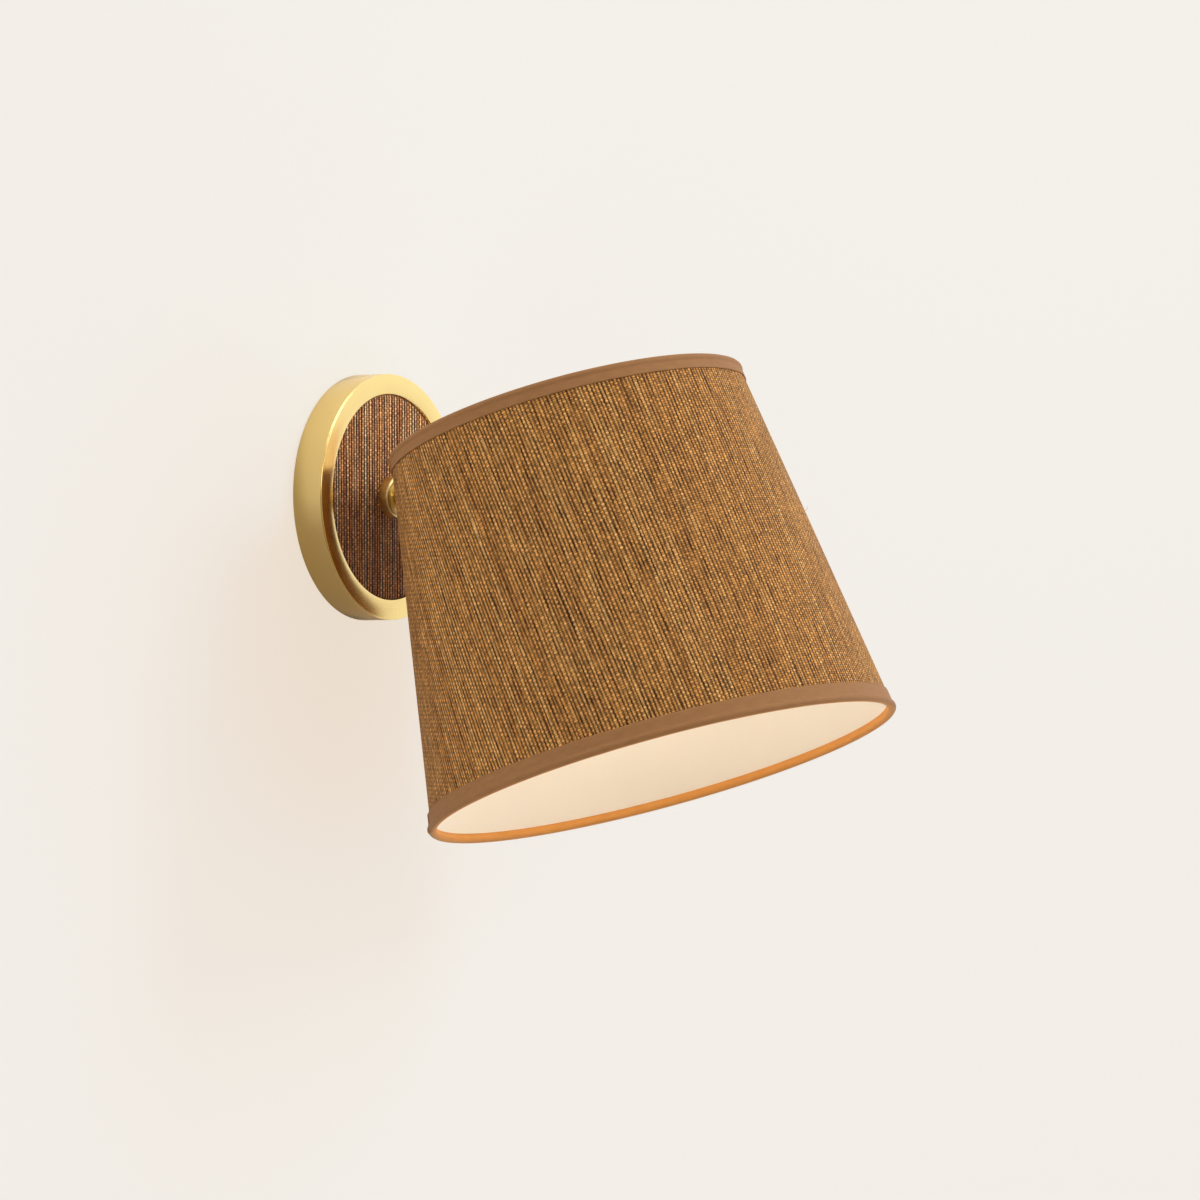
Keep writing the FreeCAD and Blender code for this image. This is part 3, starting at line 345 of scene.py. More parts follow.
def wovenCloth(name, yarns):
    finish = Finish(name, 0.75)
    across, along, _ = finish.parts(finish.cut())
    warpPlace = finish.math("DIVIDE", across, yarns["warpPitch"] * mm)
    weftPlace = finish.math("DIVIDE", along, weave["weftPitch"] * mm)

    def drawnOut(kind, place):
        scaleAcross, scaleAlong, layer, detail, roughness, size = grain[kind]
        where = finish.vector(finish.times(place, scaleAcross), finish.times(weftPlace, scaleAlong), layer)
        return finish.noise(where, size, detail, roughness)

    def fromMiddle(place):
        return finish.math("ABSOLUTE", finish.math("SUBTRACT", finish.math("FRACT", place), 0.5))

    def yarnRound(side, half):
        share = finish.math("DIVIDE", side, half)
        left = finish.line(finish.times(share, share), -1.0, 1.0)
        return finish.math("SQRT", finish.math("MAXIMUM", left, 0.0))

    if yarns["wander"]:
        sway = finish.scaled(drawnOut("stray", warpPlace), -2 * yarns["wander"], 2 * yarns["wander"])
        warpPlace = finish.plus(warpPlace, sway)
    warpNumber, weftNumber = finish.math("FLOOR", warpPlace), finish.math("FLOOR", weftPlace)
    warpSide, weftSide = fromMiddle(warpPlace), fromMiddle(weftPlace)
    over = finish.math("PINGPONG", finish.plus(warpNumber, weftNumber), 1.0)
    rise = finish.scaled(over, -0.5 * weave["crimp"], 0.5 * weave["crimp"])

    # each yarn swells and thins, and changes its colour, along its length
    thin, thick = yarns["half"] - weave["slubs"] / 2, yarns["half"] + weave["slubs"] / 2
    width = finish.scaled(drawnOut("slubs", warpNumber), thin, thick)
    width = finish.line(rise, weave["swell"], width)
    warpRound = yarnRound(warpSide, width)
    weftRound = yarnRound(weftSide, weave["weftHalf"])
    onWarp = finish.held(finish.times(finish.math("SUBTRACT", width, warpSide), weave["crisp"]))
    fibres = drawnOut("fibres", warpPlace)
    streak = drawnOut("streaks", warpNumber)
    lot = finish.chance(finish.vector(warpNumber, weave["lot"]))
    paleness = finish.scaled(lot, 0.5 - yarns["spread"] / 2, 0.5 + yarns["spread"] / 2)
    paleness = finish.plus(paleness, finish.scaled(streak, -yarns["streaks"], yarns["streaks"]))
    paleness = finish.plus(paleness, finish.scaled(fibres, -weave["fibres"], weave["fibres"]))
    warpColour = finish.ramp(paleness, (0.0, yarns["dark"]), (0.5, yarns["middle"]), (1.0, yarns["light"]))
    # painted light and shade of each warp yarn: darker between weft yarns and at its sides, lighter where it rises
    light = finish.plus(finish.scaled(weftRound, 1.0 - weave["pressedShade"], 1.0), rise)
    light = finish.times(light, finish.scaled(warpRound, weave["sideShade"], 1.0))

    # each crossing has its own tone, and finer specks break up the rows
    crossing = finish.chance(finish.vector(warpNumber, weftNumber))
    crossing = finish.scaled(crossing, 1.0 - weave["uneven"], 1.0 + weave["uneven"])
    specks = finish.scaled(drawnOut("specks", warpPlace), -weave["specks"], weave["specks"])
    ownTone = finish.plus(crossing, specks)

    # the gap between two warp yarns opens and closes along its length
    gapNumber = finish.math("FLOOR", finish.plus(warpPlace, 0.5))
    opening, sudden = drawnOut("gaps", gapNumber), weave["gaps"]
    opening = finish.held(finish.scaled(opening, yarns["open"] - sudden, yarns["open"] + sudden))
    # painted shade in the gaps: an open gap is near black, with only the weft's middle showing lighter, and a
    # closed gap is the warp's middle tone darkened
    openColour = finish.mix(finish.times(weftRound, weave["weftSeen"]), yarns["gap"], yarns["weft"])
    closedGapShade = finish.weigh(yarns["middle"], finish.scaled(weftRound, *weave["closed"]))
    gapColour = finish.mix(opening, closedGapShade, openColour)
    cloth = finish.mix(onWarp, gapColour, finish.weigh(warpColour, light))
    finish.set("Base Color", finish.weigh(cloth, ownTone))
    finish.rough(fibres, *weave["roughness"])
    finish.set("Sheen Weight", 0.03)
    finish.set("Specular IOR Level", 0.25)

    warpHeight = finish.line(finish.times(warpRound, light), 0.5, 0.5)
    gapHeight = finish.line(weftRound, 0.35, 0.1)
    inGap = finish.times(gapHeight, finish.math("SUBTRACT", 1.0, onWarp))
    height = finish.plus(finish.times(warpHeight, onWarp), inGap)
    finish.relief(finish.line(fibres, 0.15, height), weave["relief"] * mm, 0.8)
    return finish.material


tape = {
    "outside": tone(184, 132, 82),
    "outsideDark": tone(158, 108, 62),
    "foldStart": -1.6,  # millimetres from the fold, where the painted warm lamplight sets in
    "foldFull": 0.4,
    # painted warm lamplight: the inside of the fold is lighter and more orange than the outside
    "fold": tone(238, 164, 82),
    "foldDark": tone(220, 142, 62),
    "ribPitch": 0.45,
    "ribSlant": 0.7,
    "cordShare": 0.8,  # pitch of the cross ribs, as a share of the slanted ones'
    "blotches": 420.0,
    "tones": (0.84, 1.06),
    "relief": 0.06,
}


def tapeFinish():
    # a close satin tape: fine slanted ribs, soft blotches, and painted warm lamplight where it folds to the inside
    finish = Finish("trimTape", 0.6)
    across, along, _ = finish.parts(finish.cut())
    slanted = finish.plus(across, finish.times(along, tape["ribSlant"]))
    ribs = finish.math("SINE", finish.times(slanted, 2 * math.pi / (tape["ribPitch"] * mm)))
    cordPitch = tape["ribPitch"] * tape["cordShare"] * mm
    cords = finish.math("SINE", finish.times(along, 2 * math.pi / cordPitch))
    fine = finish.plus(finish.times(ribs, 0.6), finish.times(cords, 0.4))
    blotches = finish.noise(finish.vector(finish.times(across, 0.35), along), tape["blotches"], 3.0, 0.6)
    outside = finish.mix(blotches, tape["outsideDark"], tape["outside"])
    # painted lamplight: the tones that the inside of the fold takes
    inside = finish.mix(blotches, tape["foldDark"], tape["fold"])
    inputs = {"Value": along, "From Min": tape["foldStart"] * mm, "From Max": tape["foldFull"] * mm}
    turned = finish.node("ShaderNodeMapRange", inputs, interpolation_type="SMOOTHSTEP")[0]
    cloth = finish.mix(turned, outside, inside)
    weight = finish.scaled(finish.line(fine, 0.5, 0.5), *tape["tones"])
    finish.set("Base Color", finish.weigh(cloth, weight))
    finish.rough(blotches, 0.55, 0.75)
    finish.set("Specular IOR Level", 0.3)
    finish.set("Sheen Weight", 0.04)
    finish.relief(fine, tape["relief"] * mm, 0.5)
    return finish.material


lining = {"dark": tone(242, 229, 210), "light": tone(248, 237, 220), "grain": 1500.0, "clouds": 14.0,
          "depth": (0.004, 0.002, 0.001)}  # how far light spreads in the card, in metres


def liningFinish():
    # smooth cream lining card, with the faintest grain
    finish = Finish("liningCard", 0.55)
    here = finish.place(shadeFrame)
    fine = finish.noise(here, lining["grain"], 2.0, 0.6)
    clouds = finish.noise(here, lining["clouds"])
    finish.tint(clouds, lining)
    finish.rough(fine, 0.48, 0.66)
    finish.set("Subsurface Weight", 0.08)
    finish.set("Subsurface Radius", lining["depth"])
    finish.relief(fine, 0.02 * mm, 0.3)
    return finish.material


opal = {"dark": tone(240, 237, 230), "light": tone(248, 246, 240), "frost": 700.0,
        "depth": (0.01, 0.009, 0.007)}


def opalFinish():
    finish = Finish("opalGlass", 0.32)
    frost = finish.noise(finish.place(shadeFrame), opal["frost"])
    finish.tint(frost, opal)
    finish.rough(frost, 0.26, 0.38)
    finish.set("Subsurface Weight", 0.3)
    finish.set("Subsurface Radius", opal["depth"])
    finish.set("Coat Weight", 0.25)
    # the camera sees a plain glow, and what the glass lights gets its full strength
    isCamera = finish.node("ShaderNodeLightPath")["Is Camera Ray"]
    finish.set("Emission Color", stageLook["bulbColour"] + (1.0,))
    finish.set("Emission Strength", finish.scaled(isCamera, stageLook["bulbPower"], stageLook["bulbSeen"]))
    return finish.material


leads = {"black": tone(34, 32, 31), "white": tone(226, 222, 212), "dust": tone(90, 84, 76),
         "braid": 5200.0, "braidSlant": 1.4}


def leadFinish():
    # a black sleeve and a white one, each with the ribs of its braid
    finish = Finish("leadSleeves", 0.55)
    x, y, _ = finish.parts(finish.place())
    slanted = finish.plus(y, finish.times(x, leads["braidSlant"]))
    braid = finish.math("SINE", finish.times(slanted, leads["braid"]))
    colour = finish.mix(finish.math("GREATER_THAN", x, 0.0), leads["black"], leads["white"])
    finish.set("Base Color", finish.mix(finish.scaled(braid, 0.1, 0.0), colour, leads["dust"]))
    finish.rough(braid, 0.5, 0.62)
    finish.relief(braid, 0.05 * mm, 0.6)
    return finish.material


board = {"dark": tone(92, 68, 46), "light": tone(150, 118, 84), "fibres": 800.0}


def boardFinish():
    finish = Finish("fibreBoard", 0.85)
    fibres = finish.noise(finish.place(), board["fibres"], 5.0, 0.75, 1.5)
    finish.tint(fibres, board)
    finish.relief(fibres, 0.05 * mm, 0.6)
    return finish.material


finishes = {
    "satin_brass": turnedMetal("satinBrass", wallFrame, satinLook),
    "collar_brass": turnedMetal("collarBrass", wallFrame, collarLook),
    "shade_brass": turnedMetal("shadeBrass", shadeFrame, satinLook),
    "contact_brass": turnedMetal("contactBrass", shadeFrame, contactLook),
    "zinc_steel": turnedMetal("zincSteel", wallFrame, zincLook),
    "solder": turnedMetal("solderTip", shadeFrame, solderLook),
    "inlay_weave": wovenCloth("inlayWeave", inlayYarns),
    "shade_weave": wovenCloth("shadeWeave", coverYarns),
    "trim_tape": tapeFinish(),
    "lining": liningFinish(),
    "frosted_glass": opalFinish(),
    "lead_sleeve": leadFinish(),
    "board": boardFinish(),
}
finishes.update((key, paint(*look)) for key, look in paints.items())
print("finishes made:", len(finishes))


def lathe(profile, steps, closed=True, angle=2 * math.pi, start=0.0):
    # turn a profile of (radius, height) in metres about own z
    bm = bmesh.new()
    dots = [bm.verts.new((0, radius, height)) for radius, height in profile]
    pairs = list(zip(dots, dots[1:])) + ([(dots[-1], dots[0])] if closed else [])
    edges = [bm.edges.new(pair) for pair in pairs]
    bmesh.ops.rotate(bm, verts=dots, cent=(0, 0, 0), matrix=Matrix.Rotation(-start, 3, "Z"))
    full = abs(angle - 2 * math.pi) < 1e-6
    bmesh.ops.spin(bm, geom=dots + edges, cent=(0, 0, 0), axis=(0, 0, 1), dvec=(0, 0, 0), angle=-angle,
                   steps=steps, use_merge=full, use_duplicate=False)
    bmesh.ops.remove_doubles(bm, verts=bm.verts, dist=1e-6)
    return bm


def thicken(piece, thickness, offset):
    wall = piece.modifiers.new("thickness", "SOLIDIFY")
    wall.thickness = thickness * mm
    wall.offset = offset
    return piece


def soften(bm, width, segments=2, above=32):
    # round every edge where two faces meet at more than this angle
    limit = math.radians(above)
    sharp = [edge for edge in bm.edges if len(edge.link_faces) == 2 and edge.calc_face_angle(0) > limit]
    bmesh.ops.bevel(bm, geom=sharp, offset=width * mm, offset_type="OFFSET", segments=segments, profile=0.5,
                    affect="EDGES", material=-1, clamp_overlap=True)
    return bm


def addMesh(name, bm):
    mesh = bpy.data.meshes.new(name)
    bm.to_mesh(mesh)
    bm.free()
    made = bpy.data.objects.new(name, mesh)
    bpy.context.scene.collection.objects.link(made)
    return made, mesh


def finishPiece(name, bm, own, finish, body, stands=(), smoothAngle=40):
    # put the mesh where it belongs, give it its finish and let it ride on its body
    bmesh.ops.recalc_face_normals(bm, faces=bm.faces)
    made, mesh = addMesh(name, bm)
    if own is not None:
        mesh.transform(own)
    mesh.shade_smooth()
    mesh.set_sharp_from_angle(angle=math.radians(smoothAngle))
    mesh.materials.append(finishes[finish])
    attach(made, body)
    if stands:
        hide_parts(*stands)
    return made


def takeNode(node):
    # a clean copy of a node's mesh: points merged and flat faces joined
    bm = bmesh.new()
    bm.from_mesh(frame["nodes"][node].data)
    bmesh.ops.remove_doubles(bm, verts=bm.verts, dist=2e-6)
    bmesh.ops.dissolve_limit(bm, angle_limit=math.radians(0.6), verts=bm.verts, edges=bm.edges,
                             use_dissolve_boundaries=False)
    return bm


def bodyOf(node):
    return next(body for body, members in frame["record"]["behaviour"]["bodies"].items() if node in members)


def carve(piece, cutter):
    # cut another solid out of a piece
    bmesh.ops.recalc_face_normals(cutter, faces=cutter.faces)
    tool, toolMesh = addMesh("cutter", cutter)
    change = piece.modifiers.new("cut", "BOOLEAN")
    change.operation = "DIFFERENCE"
    change.solver = "EXACT"
    change.object = tool
    bpy.context.view_layer.update()
    result = bpy.data.meshes.new_from_object(piece.evaluated_get(bpy.context.evaluated_depsgraph_get()))
    piece.modifiers.clear()
    old = piece.data
    piece.data = result
    result.name = piece.name
    bpy.data.meshes.remove(old)
    bpy.data.objects.remove(tool)
    bpy.data.meshes.remove(toolMesh)
    return piece


def moveOut(vert, move):
    # away from own z, in metres
    scale = 1 + move / vert.co.xy.length
    vert.co.x *= scale
    vert.co.y *= scale


def block(wide, deep, tall, own):
    bm = bmesh.new()
    bmesh.ops.create_cube(bm, size=1.0)
    bmesh.ops.scale(bm, vec=(wide * mm, deep * mm, tall * mm), verts=bm.verts)
    bmesh.ops.transform(bm, matrix=own, verts=bm.verts)
    return bm


def rod(radius, length, own, sides=6):
    bm = bmesh.new()
    bmesh.ops.create_cone(bm, cap_ends=True, segments=sides, radius1=radius * mm, radius2=radius * mm,
                          depth=length * mm)
    bmesh.ops.transform(bm, matrix=own, verts=bm.verts)
    return bm


# hard pieces that keep their own shape and get rounded edges: node, finish and edge radius
hardPieces = [
    ("mounting_bracket", "zinc_steel", 0.25),
    ("ground_screw", "green_screw", 0.35),
    ("threaded_nipple", "zinc_steel", 0.2),
    ("nipple_locknut", "zinc_steel", 0.4),
    ("collar", "collar_brass", 0.22),
    ("knuckle_fork", "satin_brass", 0.18),
    ("pivot_screw", "contact_brass", 0.3),
    ("pivot_nut", "contact_brass", 0.25),
    ("friction_washers", "nylon", 0.08),
    ("knuckle_tongue", "satin_brass", 0.18),
    ("arm_tube", "satin_brass", 0.2),
    ("arm_grub_screw", "zinc_steel", 0.15),
    ("arm_eyelet", "satin_brass", 0.12),
    ("socket_cup", "shade_brass", 0.3),
    ("socket_stud", "contact_brass", 0.25),
    ("lamp_holder", "black_moulding", 0.35),
    ("centre_contact", "contact_brass", 0.15),
    ("terminal_screws", "contact_brass", 0.25),
    ("inlay_board", "board", 0.15),
]


def makeHardPieces():
    made = {}
    for node, finish, edge in hardPieces:
        bm = soften(takeNode(node), edge)
        made[node] = finishPiece(node + "_made", bm, None, finish, bodyOf(node), [node])
    return made


# nodes whose own mesh is right as it is, and their finishes
keptNodes = {
    "top_wire": "white_wire",
    "bottom_wire": "white_wire",
    "spider": "white_wire",
    "arm_leads": "lead_sleeve",
    "bulb_light_source": "bulb_inside",
    "bulb_contact": "solder",
    "bulb_insulator": "black_glass",
}


def keepNodes():
    for node, finish in keptNodes.items():
        kept = frame["nodes"][node]
        kept.data.materials.clear()
        kept.data.materials.append(finishes[finish])


plate = {
    "radius": 63.5,
    "depth": 17.9,
    "rim": 10.4,
    "wall": 3.0,
    "webFront": 15.2,
    "webBack": 13.2,
    "hole": 5.1,
    "edge": 0.42,
    "line": (1.7, 1.3, 0.4),  # start, floor and end of the turned line, in edges behind the face
    "lineEdge": 0.08,
    "sides": 256,
}


def makePlate():
    outer, inner = plate["radius"], plate["radius"] - plate["rim"]
    inside, edge, front = outer - plate["wall"], plate["edge"], plate["depth"]
    # a fine turned line parts the side from the face
    start, floor, end = (front - share * edge for share in plate["line"])
    corners = [(inside, 0.0), (outer - edge, 0.0), (outer, edge), (outer, start), (outer - edge, floor),
               (outer - 0.5 * edge, end), (outer - edge, front), (inner + edge, front),
               (inner, front - edge), (inner, plate["webFront"]), (plate["hole"], plate["webFront"]),
               (plate["hole"], plate["webBack"]), (inside, plate["webBack"])]
    bm = soften(lathe([(r * mm, z * mm) for r, z in corners], plate["sides"]), plate["lineEdge"], 1)
    finishPiece("wall_plate_brass", bm, wallFrame, "satin_brass", "wall_side", ["wall_plate"], 30)


inlay = {
    "radius": 52.7,
    "front": 16.8,
    "thickness": 0.4,
    "hole": 5.1,
    "cellAcross": 0.46,
    "cellAlong": 0.61,
    "relief": 0.26,
    "sink": 0.35,  # how far the floor of the weave lies behind its front
    "weftPressed": 0.2,  # how much lower a warp yarn is between two weft yarns
    "weftHeight": 0.35,
    "bumps": 0.1,
    "wander": 0.45,  # how far its yarns stray sideways
    "tuck": 0.5,  # how far its rim is pressed down
    "tuckWidth": 1.2,
}


def yarnRelief(across, along):
    # height, 0 to 1, of the cloth's face at a place on the flat cloth in millimetres
    warp, weft = across / inlayYarns["warpPitch"], along / weave["weftPitch"]
    warpSide, weftSide = abs(warp % 1 - 0.5), abs(weft % 1 - 0.5)
    warpRound = math.sqrt(max(0.0, 1 - (warpSide / inlayYarns["half"]) ** 2))
    weftRound = math.sqrt(max(0.0, 1 - (weftSide / weave["weftHalf"]) ** 2))
    rise = weave["crimp"] * ((math.floor(warp) + math.floor(weft)) % 2 - 0.5)
    level = 1 - inlay["weftPressed"] + inlay["weftPressed"] * weftRound + rise
    return max(warpRound * level, inlay["weftHeight"] * weftRound)


def makeInlay():
    # a disc of real woven relief, tucked down a little at its rim
    radius = inlay["radius"] * mm
    bm = bmesh.new()
    across = int(2 * inlay["radius"] / inlay["cellAcross"])
    along = int(2 * inlay["radius"] / inlay["cellAlong"])
    bmesh.ops.create_grid(bm, x_segments=across, y_segments=along, size=radius)
    outside = [vert for vert in bm.verts if not inlay["hole"] * mm < vert.co.length < radius]
    bmesh.ops.delete(bm, geom=outside, context="VERTS")
    layer = bm.loops.layers.uv.new("cut")
    floor = inlay["front"] - inlay["sink"]
    place = {}
    for vert in bm.verts:
        reach = vert.co.length
        if vert.is_boundary:
            vert.co *= (radius if reach > radius / 2 else inlay["hole"] * mm) / reach
        here = vert.co.xy / mm
        sway = noise.noise(Vector((here.x * 0.45, here.y * 0.03, 0)))
        sway += noise.noise(Vector((here.x * 0.1, here.y * 0.02, 5)))
        place[vert] = (here.x + inlay["wander"] * sway, here.y)
        edge = min(1.0, (radius - reach) / (inlay["tuckWidth"] * mm))
        lift = inlay["relief"] * yarnRelief(*place[vert]) + inlay["bumps"] * noise.noise(vert.co * 60)
        vert.co.z = (floor + lift * edge - inlay["tuck"] * (1 - edge) ** 2) * mm
    rim = [edge for edge in bm.edges if edge.is_boundary]
    for part in bmesh.ops.extrude_edge_only(bm, edges=rim)["geom"]:
        if isinstance(part, bmesh.types.BMVert):
            place[part] = (part.co.x / mm, part.co.y / mm)
            part.co.z = (inlay["front"] - inlay["tuck"] - inlay["thickness"]) * mm
    for face in bm.faces:
        for loop in face.loops:
            loop[layer].uv = [part * mm for part in place[loop.vert]]
    made = finishPiece("inlay_cloth_woven", bm, wallFrame, "inlay_weave", "wall_side", ["inlay_cloth"], 80)


def shadePoint(slant, out):
    # radius and drop in metres, from millimetres down the slope and out from the cover's face
    radius = shade["topRadius"] + slant * sinFlare + out * cosFlare
    drop = slant * cosFlare - out * sinFlare
    return radius * mm, drop * mm


def roundShade(co):
    # degrees round the shade's axis: 0 is straight out from the wall, 90 is to the right
    return math.degrees(math.atan2(co.x, co.y))


def wander(co):
    # how far the cloth strays from a true cone here, in metres; trims and cover share it
    around, waves = math.radians(roundShade(co)), shade["wavesRound"]
    here = Vector((math.cos(around) * waves, math.sin(around) * waves, co.z * shade["wavesDown"]))
    return noise.noise(here) * shade["unevenness"] * mm


def layFlat(bm):
    # the flat cut of the cone: across and along the straight yarns, in metres
    layer = bm.loops.layers.uv.new("cut")
    for face in bm.faces:
        centre = roundShade(face.calc_center_median()) - shade["cutMiddle"]
        centre = (centre + 180) % 360 - 180
        for loop in face.loops:
            turn = roundShade(loop.vert.co) - shade["cutMiddle"]
            turn += 360 * round((centre - turn) / 360)
            slanted = shade["apex"] * mm + loop.vert.co.z / cosFlare
            swing = math.radians(turn) * sinFlare
            loop[layer].uv = (slanted * math.sin(swing), slanted * math.cos(swing))


def armHole():
    # a rod through the shade's near wall, square to it, where the arm goes in
    eyelet = middleOf("arm_eyelet")
    slope = tilt - math.atan2(shade["flare"], shade["height"])
    own = Matrix.Translation((0, eyelet.y, 0)) @ Matrix.Rotation(math.radians(90) - slope, 4, "X")
    return rod(shade["armHole"], 40, own, 48)


lap = {
    "at": 170,  # degrees round, where the cloth's ends meet at the wall
    "width": 5.0,  # degrees
    "height": 0.3,
    "clear": 11,  # no lap this near to the shade's edges, in millimetres
    "fade": 6,
}


def lapLift(co):
    # one end of the cloth lies on the other, and thins out under the trims
    behind = (lap["at"] - roundShade(co)) % 360
    if behind > lap["width"]:
        return 0.0
    fromEnd = min(co.z / mm, shade["height"] - co.z / mm)
    return lap["height"] * max(0.0, min(1.0, (fromEnd - lap["clear"]) / lap["fade"]))


def shadeLayer(name, outer, inner, finish, node):
    edge = wireSlant + shade["wireRadius"] + shade["glueLine"]
    low, high, rows = edge, shade["slant"] - edge, shade["rows"]
    slants = [low + (high - low) * row / rows for row in range(rows + 1)]
    profile = [shadePoint(slant, -outer) for slant in slants]
    profile += [shadePoint(slant, -inner) for slant in reversed(slants)]
    bm = lathe(profile, shade["sides"])
    for vert in bm.verts:
        moveOut(vert, wander(vert.co) + (lapLift(vert.co) * mm if outer == 0 else 0.0))
    layFlat(bm)
    made = finishPiece(name, bm, shadeFrame, finish, "shade_head", [node], 50)
    return carve(made, armHole())


# how a trim folds over its wire, with slants in millimetres from the shade's edge
tapeFold = {
    "bandEnd": 5.0,  # where the outside band starts to rise over the wire
    "bandSteps": 6,
    "rise": ((4.35, 0.02, 0.0), (3.9, 0.0, 0.35), (3.4, 0.0, 0.8)),  # slant, lift and share of the bulge
    "arc": range(35, -216, -25),  # degrees round the wire
    "lastTurn": 19,  # the last place of the route that still lies on the wire
    "insideStart": 1.6,
    "turned": 4.8,
}


def tapeRoute(band, turned, bulge):
    # up the outside from the tape's edge, over the wire and down the inside, as (slant, out)
    half = shade["tapeThickness"] / 2
    around = shade["wireRadius"] + shade["glueLine"] + half
    outside = shade["glueLine"] + half
    inside = -wallLayers - shade["glueLine"] - half
    steps, bandEnd = tapeFold["bandSteps"], tapeFold["bandEnd"]
    route = [(band - (band - bandEnd) * step / steps, outside) for step in range(steps + 1)]
    route += [(slant, outside + lift + bulge * share) for slant, lift, share in tapeFold["rise"]]
    for degrees in tapeFold["arc"]:
        angle = math.radians(degrees)
        out = -shade["wireInset"] + around * math.cos(angle) + bulge * max(0.0, math.cos(angle))
        route.append((wireSlant + around * math.sin(angle), out))
    route += [(wireSlant + tapeFold["insideStart"], inside), (turned, inside)]
    return route


def turnTape(edge, way, look, start=0.0, sweep=360.0, narrower=0.0):
    # way is 1 where the tape runs down from the shade's edge, or -1 where it runs up
    across = tapeRoute(look["band"] - narrower, tapeFold["turned"] - narrower / 2, look["bulge"])
    route = [(edge + way * slant, out) for slant, out in across]
    lengths = [0.0]
    for before, after in zip(route, route[1:]):
        lengths.append(lengths[-1] + math.dist(before, after))
    atEdge = lengths[min(range(len(across)), key=lambda at: across[at][0])]
    steps = trims["sides"] if sweep > 359 else max(6, int(sweep * 2))
    spots = [shadePoint(slant, out) for slant, out in route]
    bm = lathe(spots, steps, False, math.radians(sweep), math.radians(start))
    return bm, spots, [length - atEdge for length in lengths]


def dressTrim(name, bm, spots, fromEdge, stands, ripple, lift, way):
    # the tape's own coordinates, small puckers along its outer edge and its thickness
    layer = bm.loops.layers.uv.new("cut")

    def nearest(co):
        here = (co.xy.length, co.z)
        return min(range(len(spots)), key=lambda at: math.dist(spots[at], here))

    place = {vert: nearest(vert.co) for vert in bm.verts}
    for face in bm.faces:
        centre = roundShade(face.calc_center_median())
        for loop in face.loops:
            turn = roundShade(loop.vert.co)
            turn += 360 * round((centre - turn) / 360)
            loop[layer].uv = (math.radians(turn) * spots[0][0], fromEdge[place[loop.vert]] * mm)
    for vert in bm.verts:
        at = place[vert]
        around = math.radians(roundShade(vert.co))
        x, y = math.cos(around), math.sin(around)
        pucker = noise.noise(Vector((x * trims["puckers"], y * trims["puckers"], at * 0.2)))
        slow = noise.noise(Vector((x * trims["waves"], y * trims["waves"], 3.0)))
        share = 1.0 if at <= tapeFold["bandSteps"] else trims["foldRipple"]
        rise = -lift if at > tapeFold["lastTurn"] else ripple * pucker * share + lift
        moveOut(vert, wander(vert.co) + rise * mm)
        if at == 0:
            vert.co.z += way * trims["edgeWave"] * slow * mm
    made = finishPiece(name, bm, shadeFrame, "trim_tape", "shade_head", stands, 70)
    return thicken(made, shade["tapeThickness"], 0.0)


trims = {
    "top": {"band": 8.3, "bulge": 0.05, "ripple": 0.07},
    "bottom": {"band": 10.0, "bulge": 0.25, "ripple": 0.09},
    "sides": 360,
    "puckers": 30,  # how close the puckers and the slow waves stand
    "waves": 9,
    "edgeWave": 0.16,
    "foldRipple": 0.35,  # share of the ripple that the fold keeps
    "lapAt": -147,  # degrees round, where the tape's ends lap
    "lapLength": 9.0,
    "lapRipple": 0.04,
    "lapLift": 0.42,
    "lapNarrower": 0.3,
}


def makeTrims():
    for side, edge, way in (("top", 0.0, 1), ("bottom", shade["slant"], -1)):
        look = trims[side]
        bm, spots, fromEdge = turnTape(edge, way, look)
        stands = [side + "_trim"]
        tapePiece = dressTrim(side + "_trim_tape", bm, spots, fromEdge, stands, look["ripple"], 0.0, way)
        sweep = math.degrees(trims["lapLength"] / (shadePoint(edge, 0)[0] / mm))
        lapCut = turnTape(edge, way, look, trims["lapAt"], sweep, trims["lapNarrower"])
        lapPiece = dressTrim(side + "_trim_lap", *lapCut, (), trims["lapRipple"], trims["lapLift"], way)


fibre = {
    "radius": 0.09,
    "stride": 0.22,  # millimetres from one ring to the next
    "sides": 6,
    "twist": 0.4,  # share of its bend that turns it sideways
}
# loose fibres on the two cloths: frame, start, turn, rings, bend at each ring and body
looseFibres = {
    "inlay_fibre": (wallFrame, (-44.0, -2.8, 16.75), (20, 55, 0), 26, 16, "wall_side"),
    "cover_fibre": (shadeFrame, (48.2, 92.0, 82.0), (-60, 20, 0), 15, -9, "shade_head"),
    "hem_fibre": (shadeFrame, (-66.8, -99.6, 187.0), (35, -70, 0), 12, 14, "shade_head"),
}


def makeLooseFibres():
    for name, (own, start, turn, rings, bend, body) in looseFibres.items():
        here = Matrix.Translation([part * mm for part in start])
        for axis, degrees in zip("XYZ", turn):
            here = here @ turnedBy(degrees, axis)
        stride = Matrix.Translation((0, 0, fibre["stride"] * mm))
        for axis, degrees in (("X", bend), ("Y", bend * fibre["twist"])):
            stride = stride @ turnedBy(degrees, axis)
        bm = bmesh.new()
        ring = bmesh.ops.create_circle(bm, cap_ends=True, segments=fibre["sides"],
                                       radius=fibre["radius"] * mm)["verts"]
        bmesh.ops.transform(bm, matrix=here, verts=ring)
        edges = bm.edges[:]
        for step in range(rings):
            grown = bmesh.ops.extrude_edge_only(bm, edges=edges)["geom"]
            ring = [part for part in grown if isinstance(part, bmesh.types.BMVert)]
            edges = [part for part in grown if isinstance(part, bmesh.types.BMEdge)]
            bmesh.ops.transform(bm, matrix=here @ stride @ here.inverted(), verts=ring)
            here = here @ stride
        bmesh.ops.holes_fill(bm, edges=edges, sides=fibre["sides"])
        finishPiece(name, bm, own, "lining", body, (), 80)


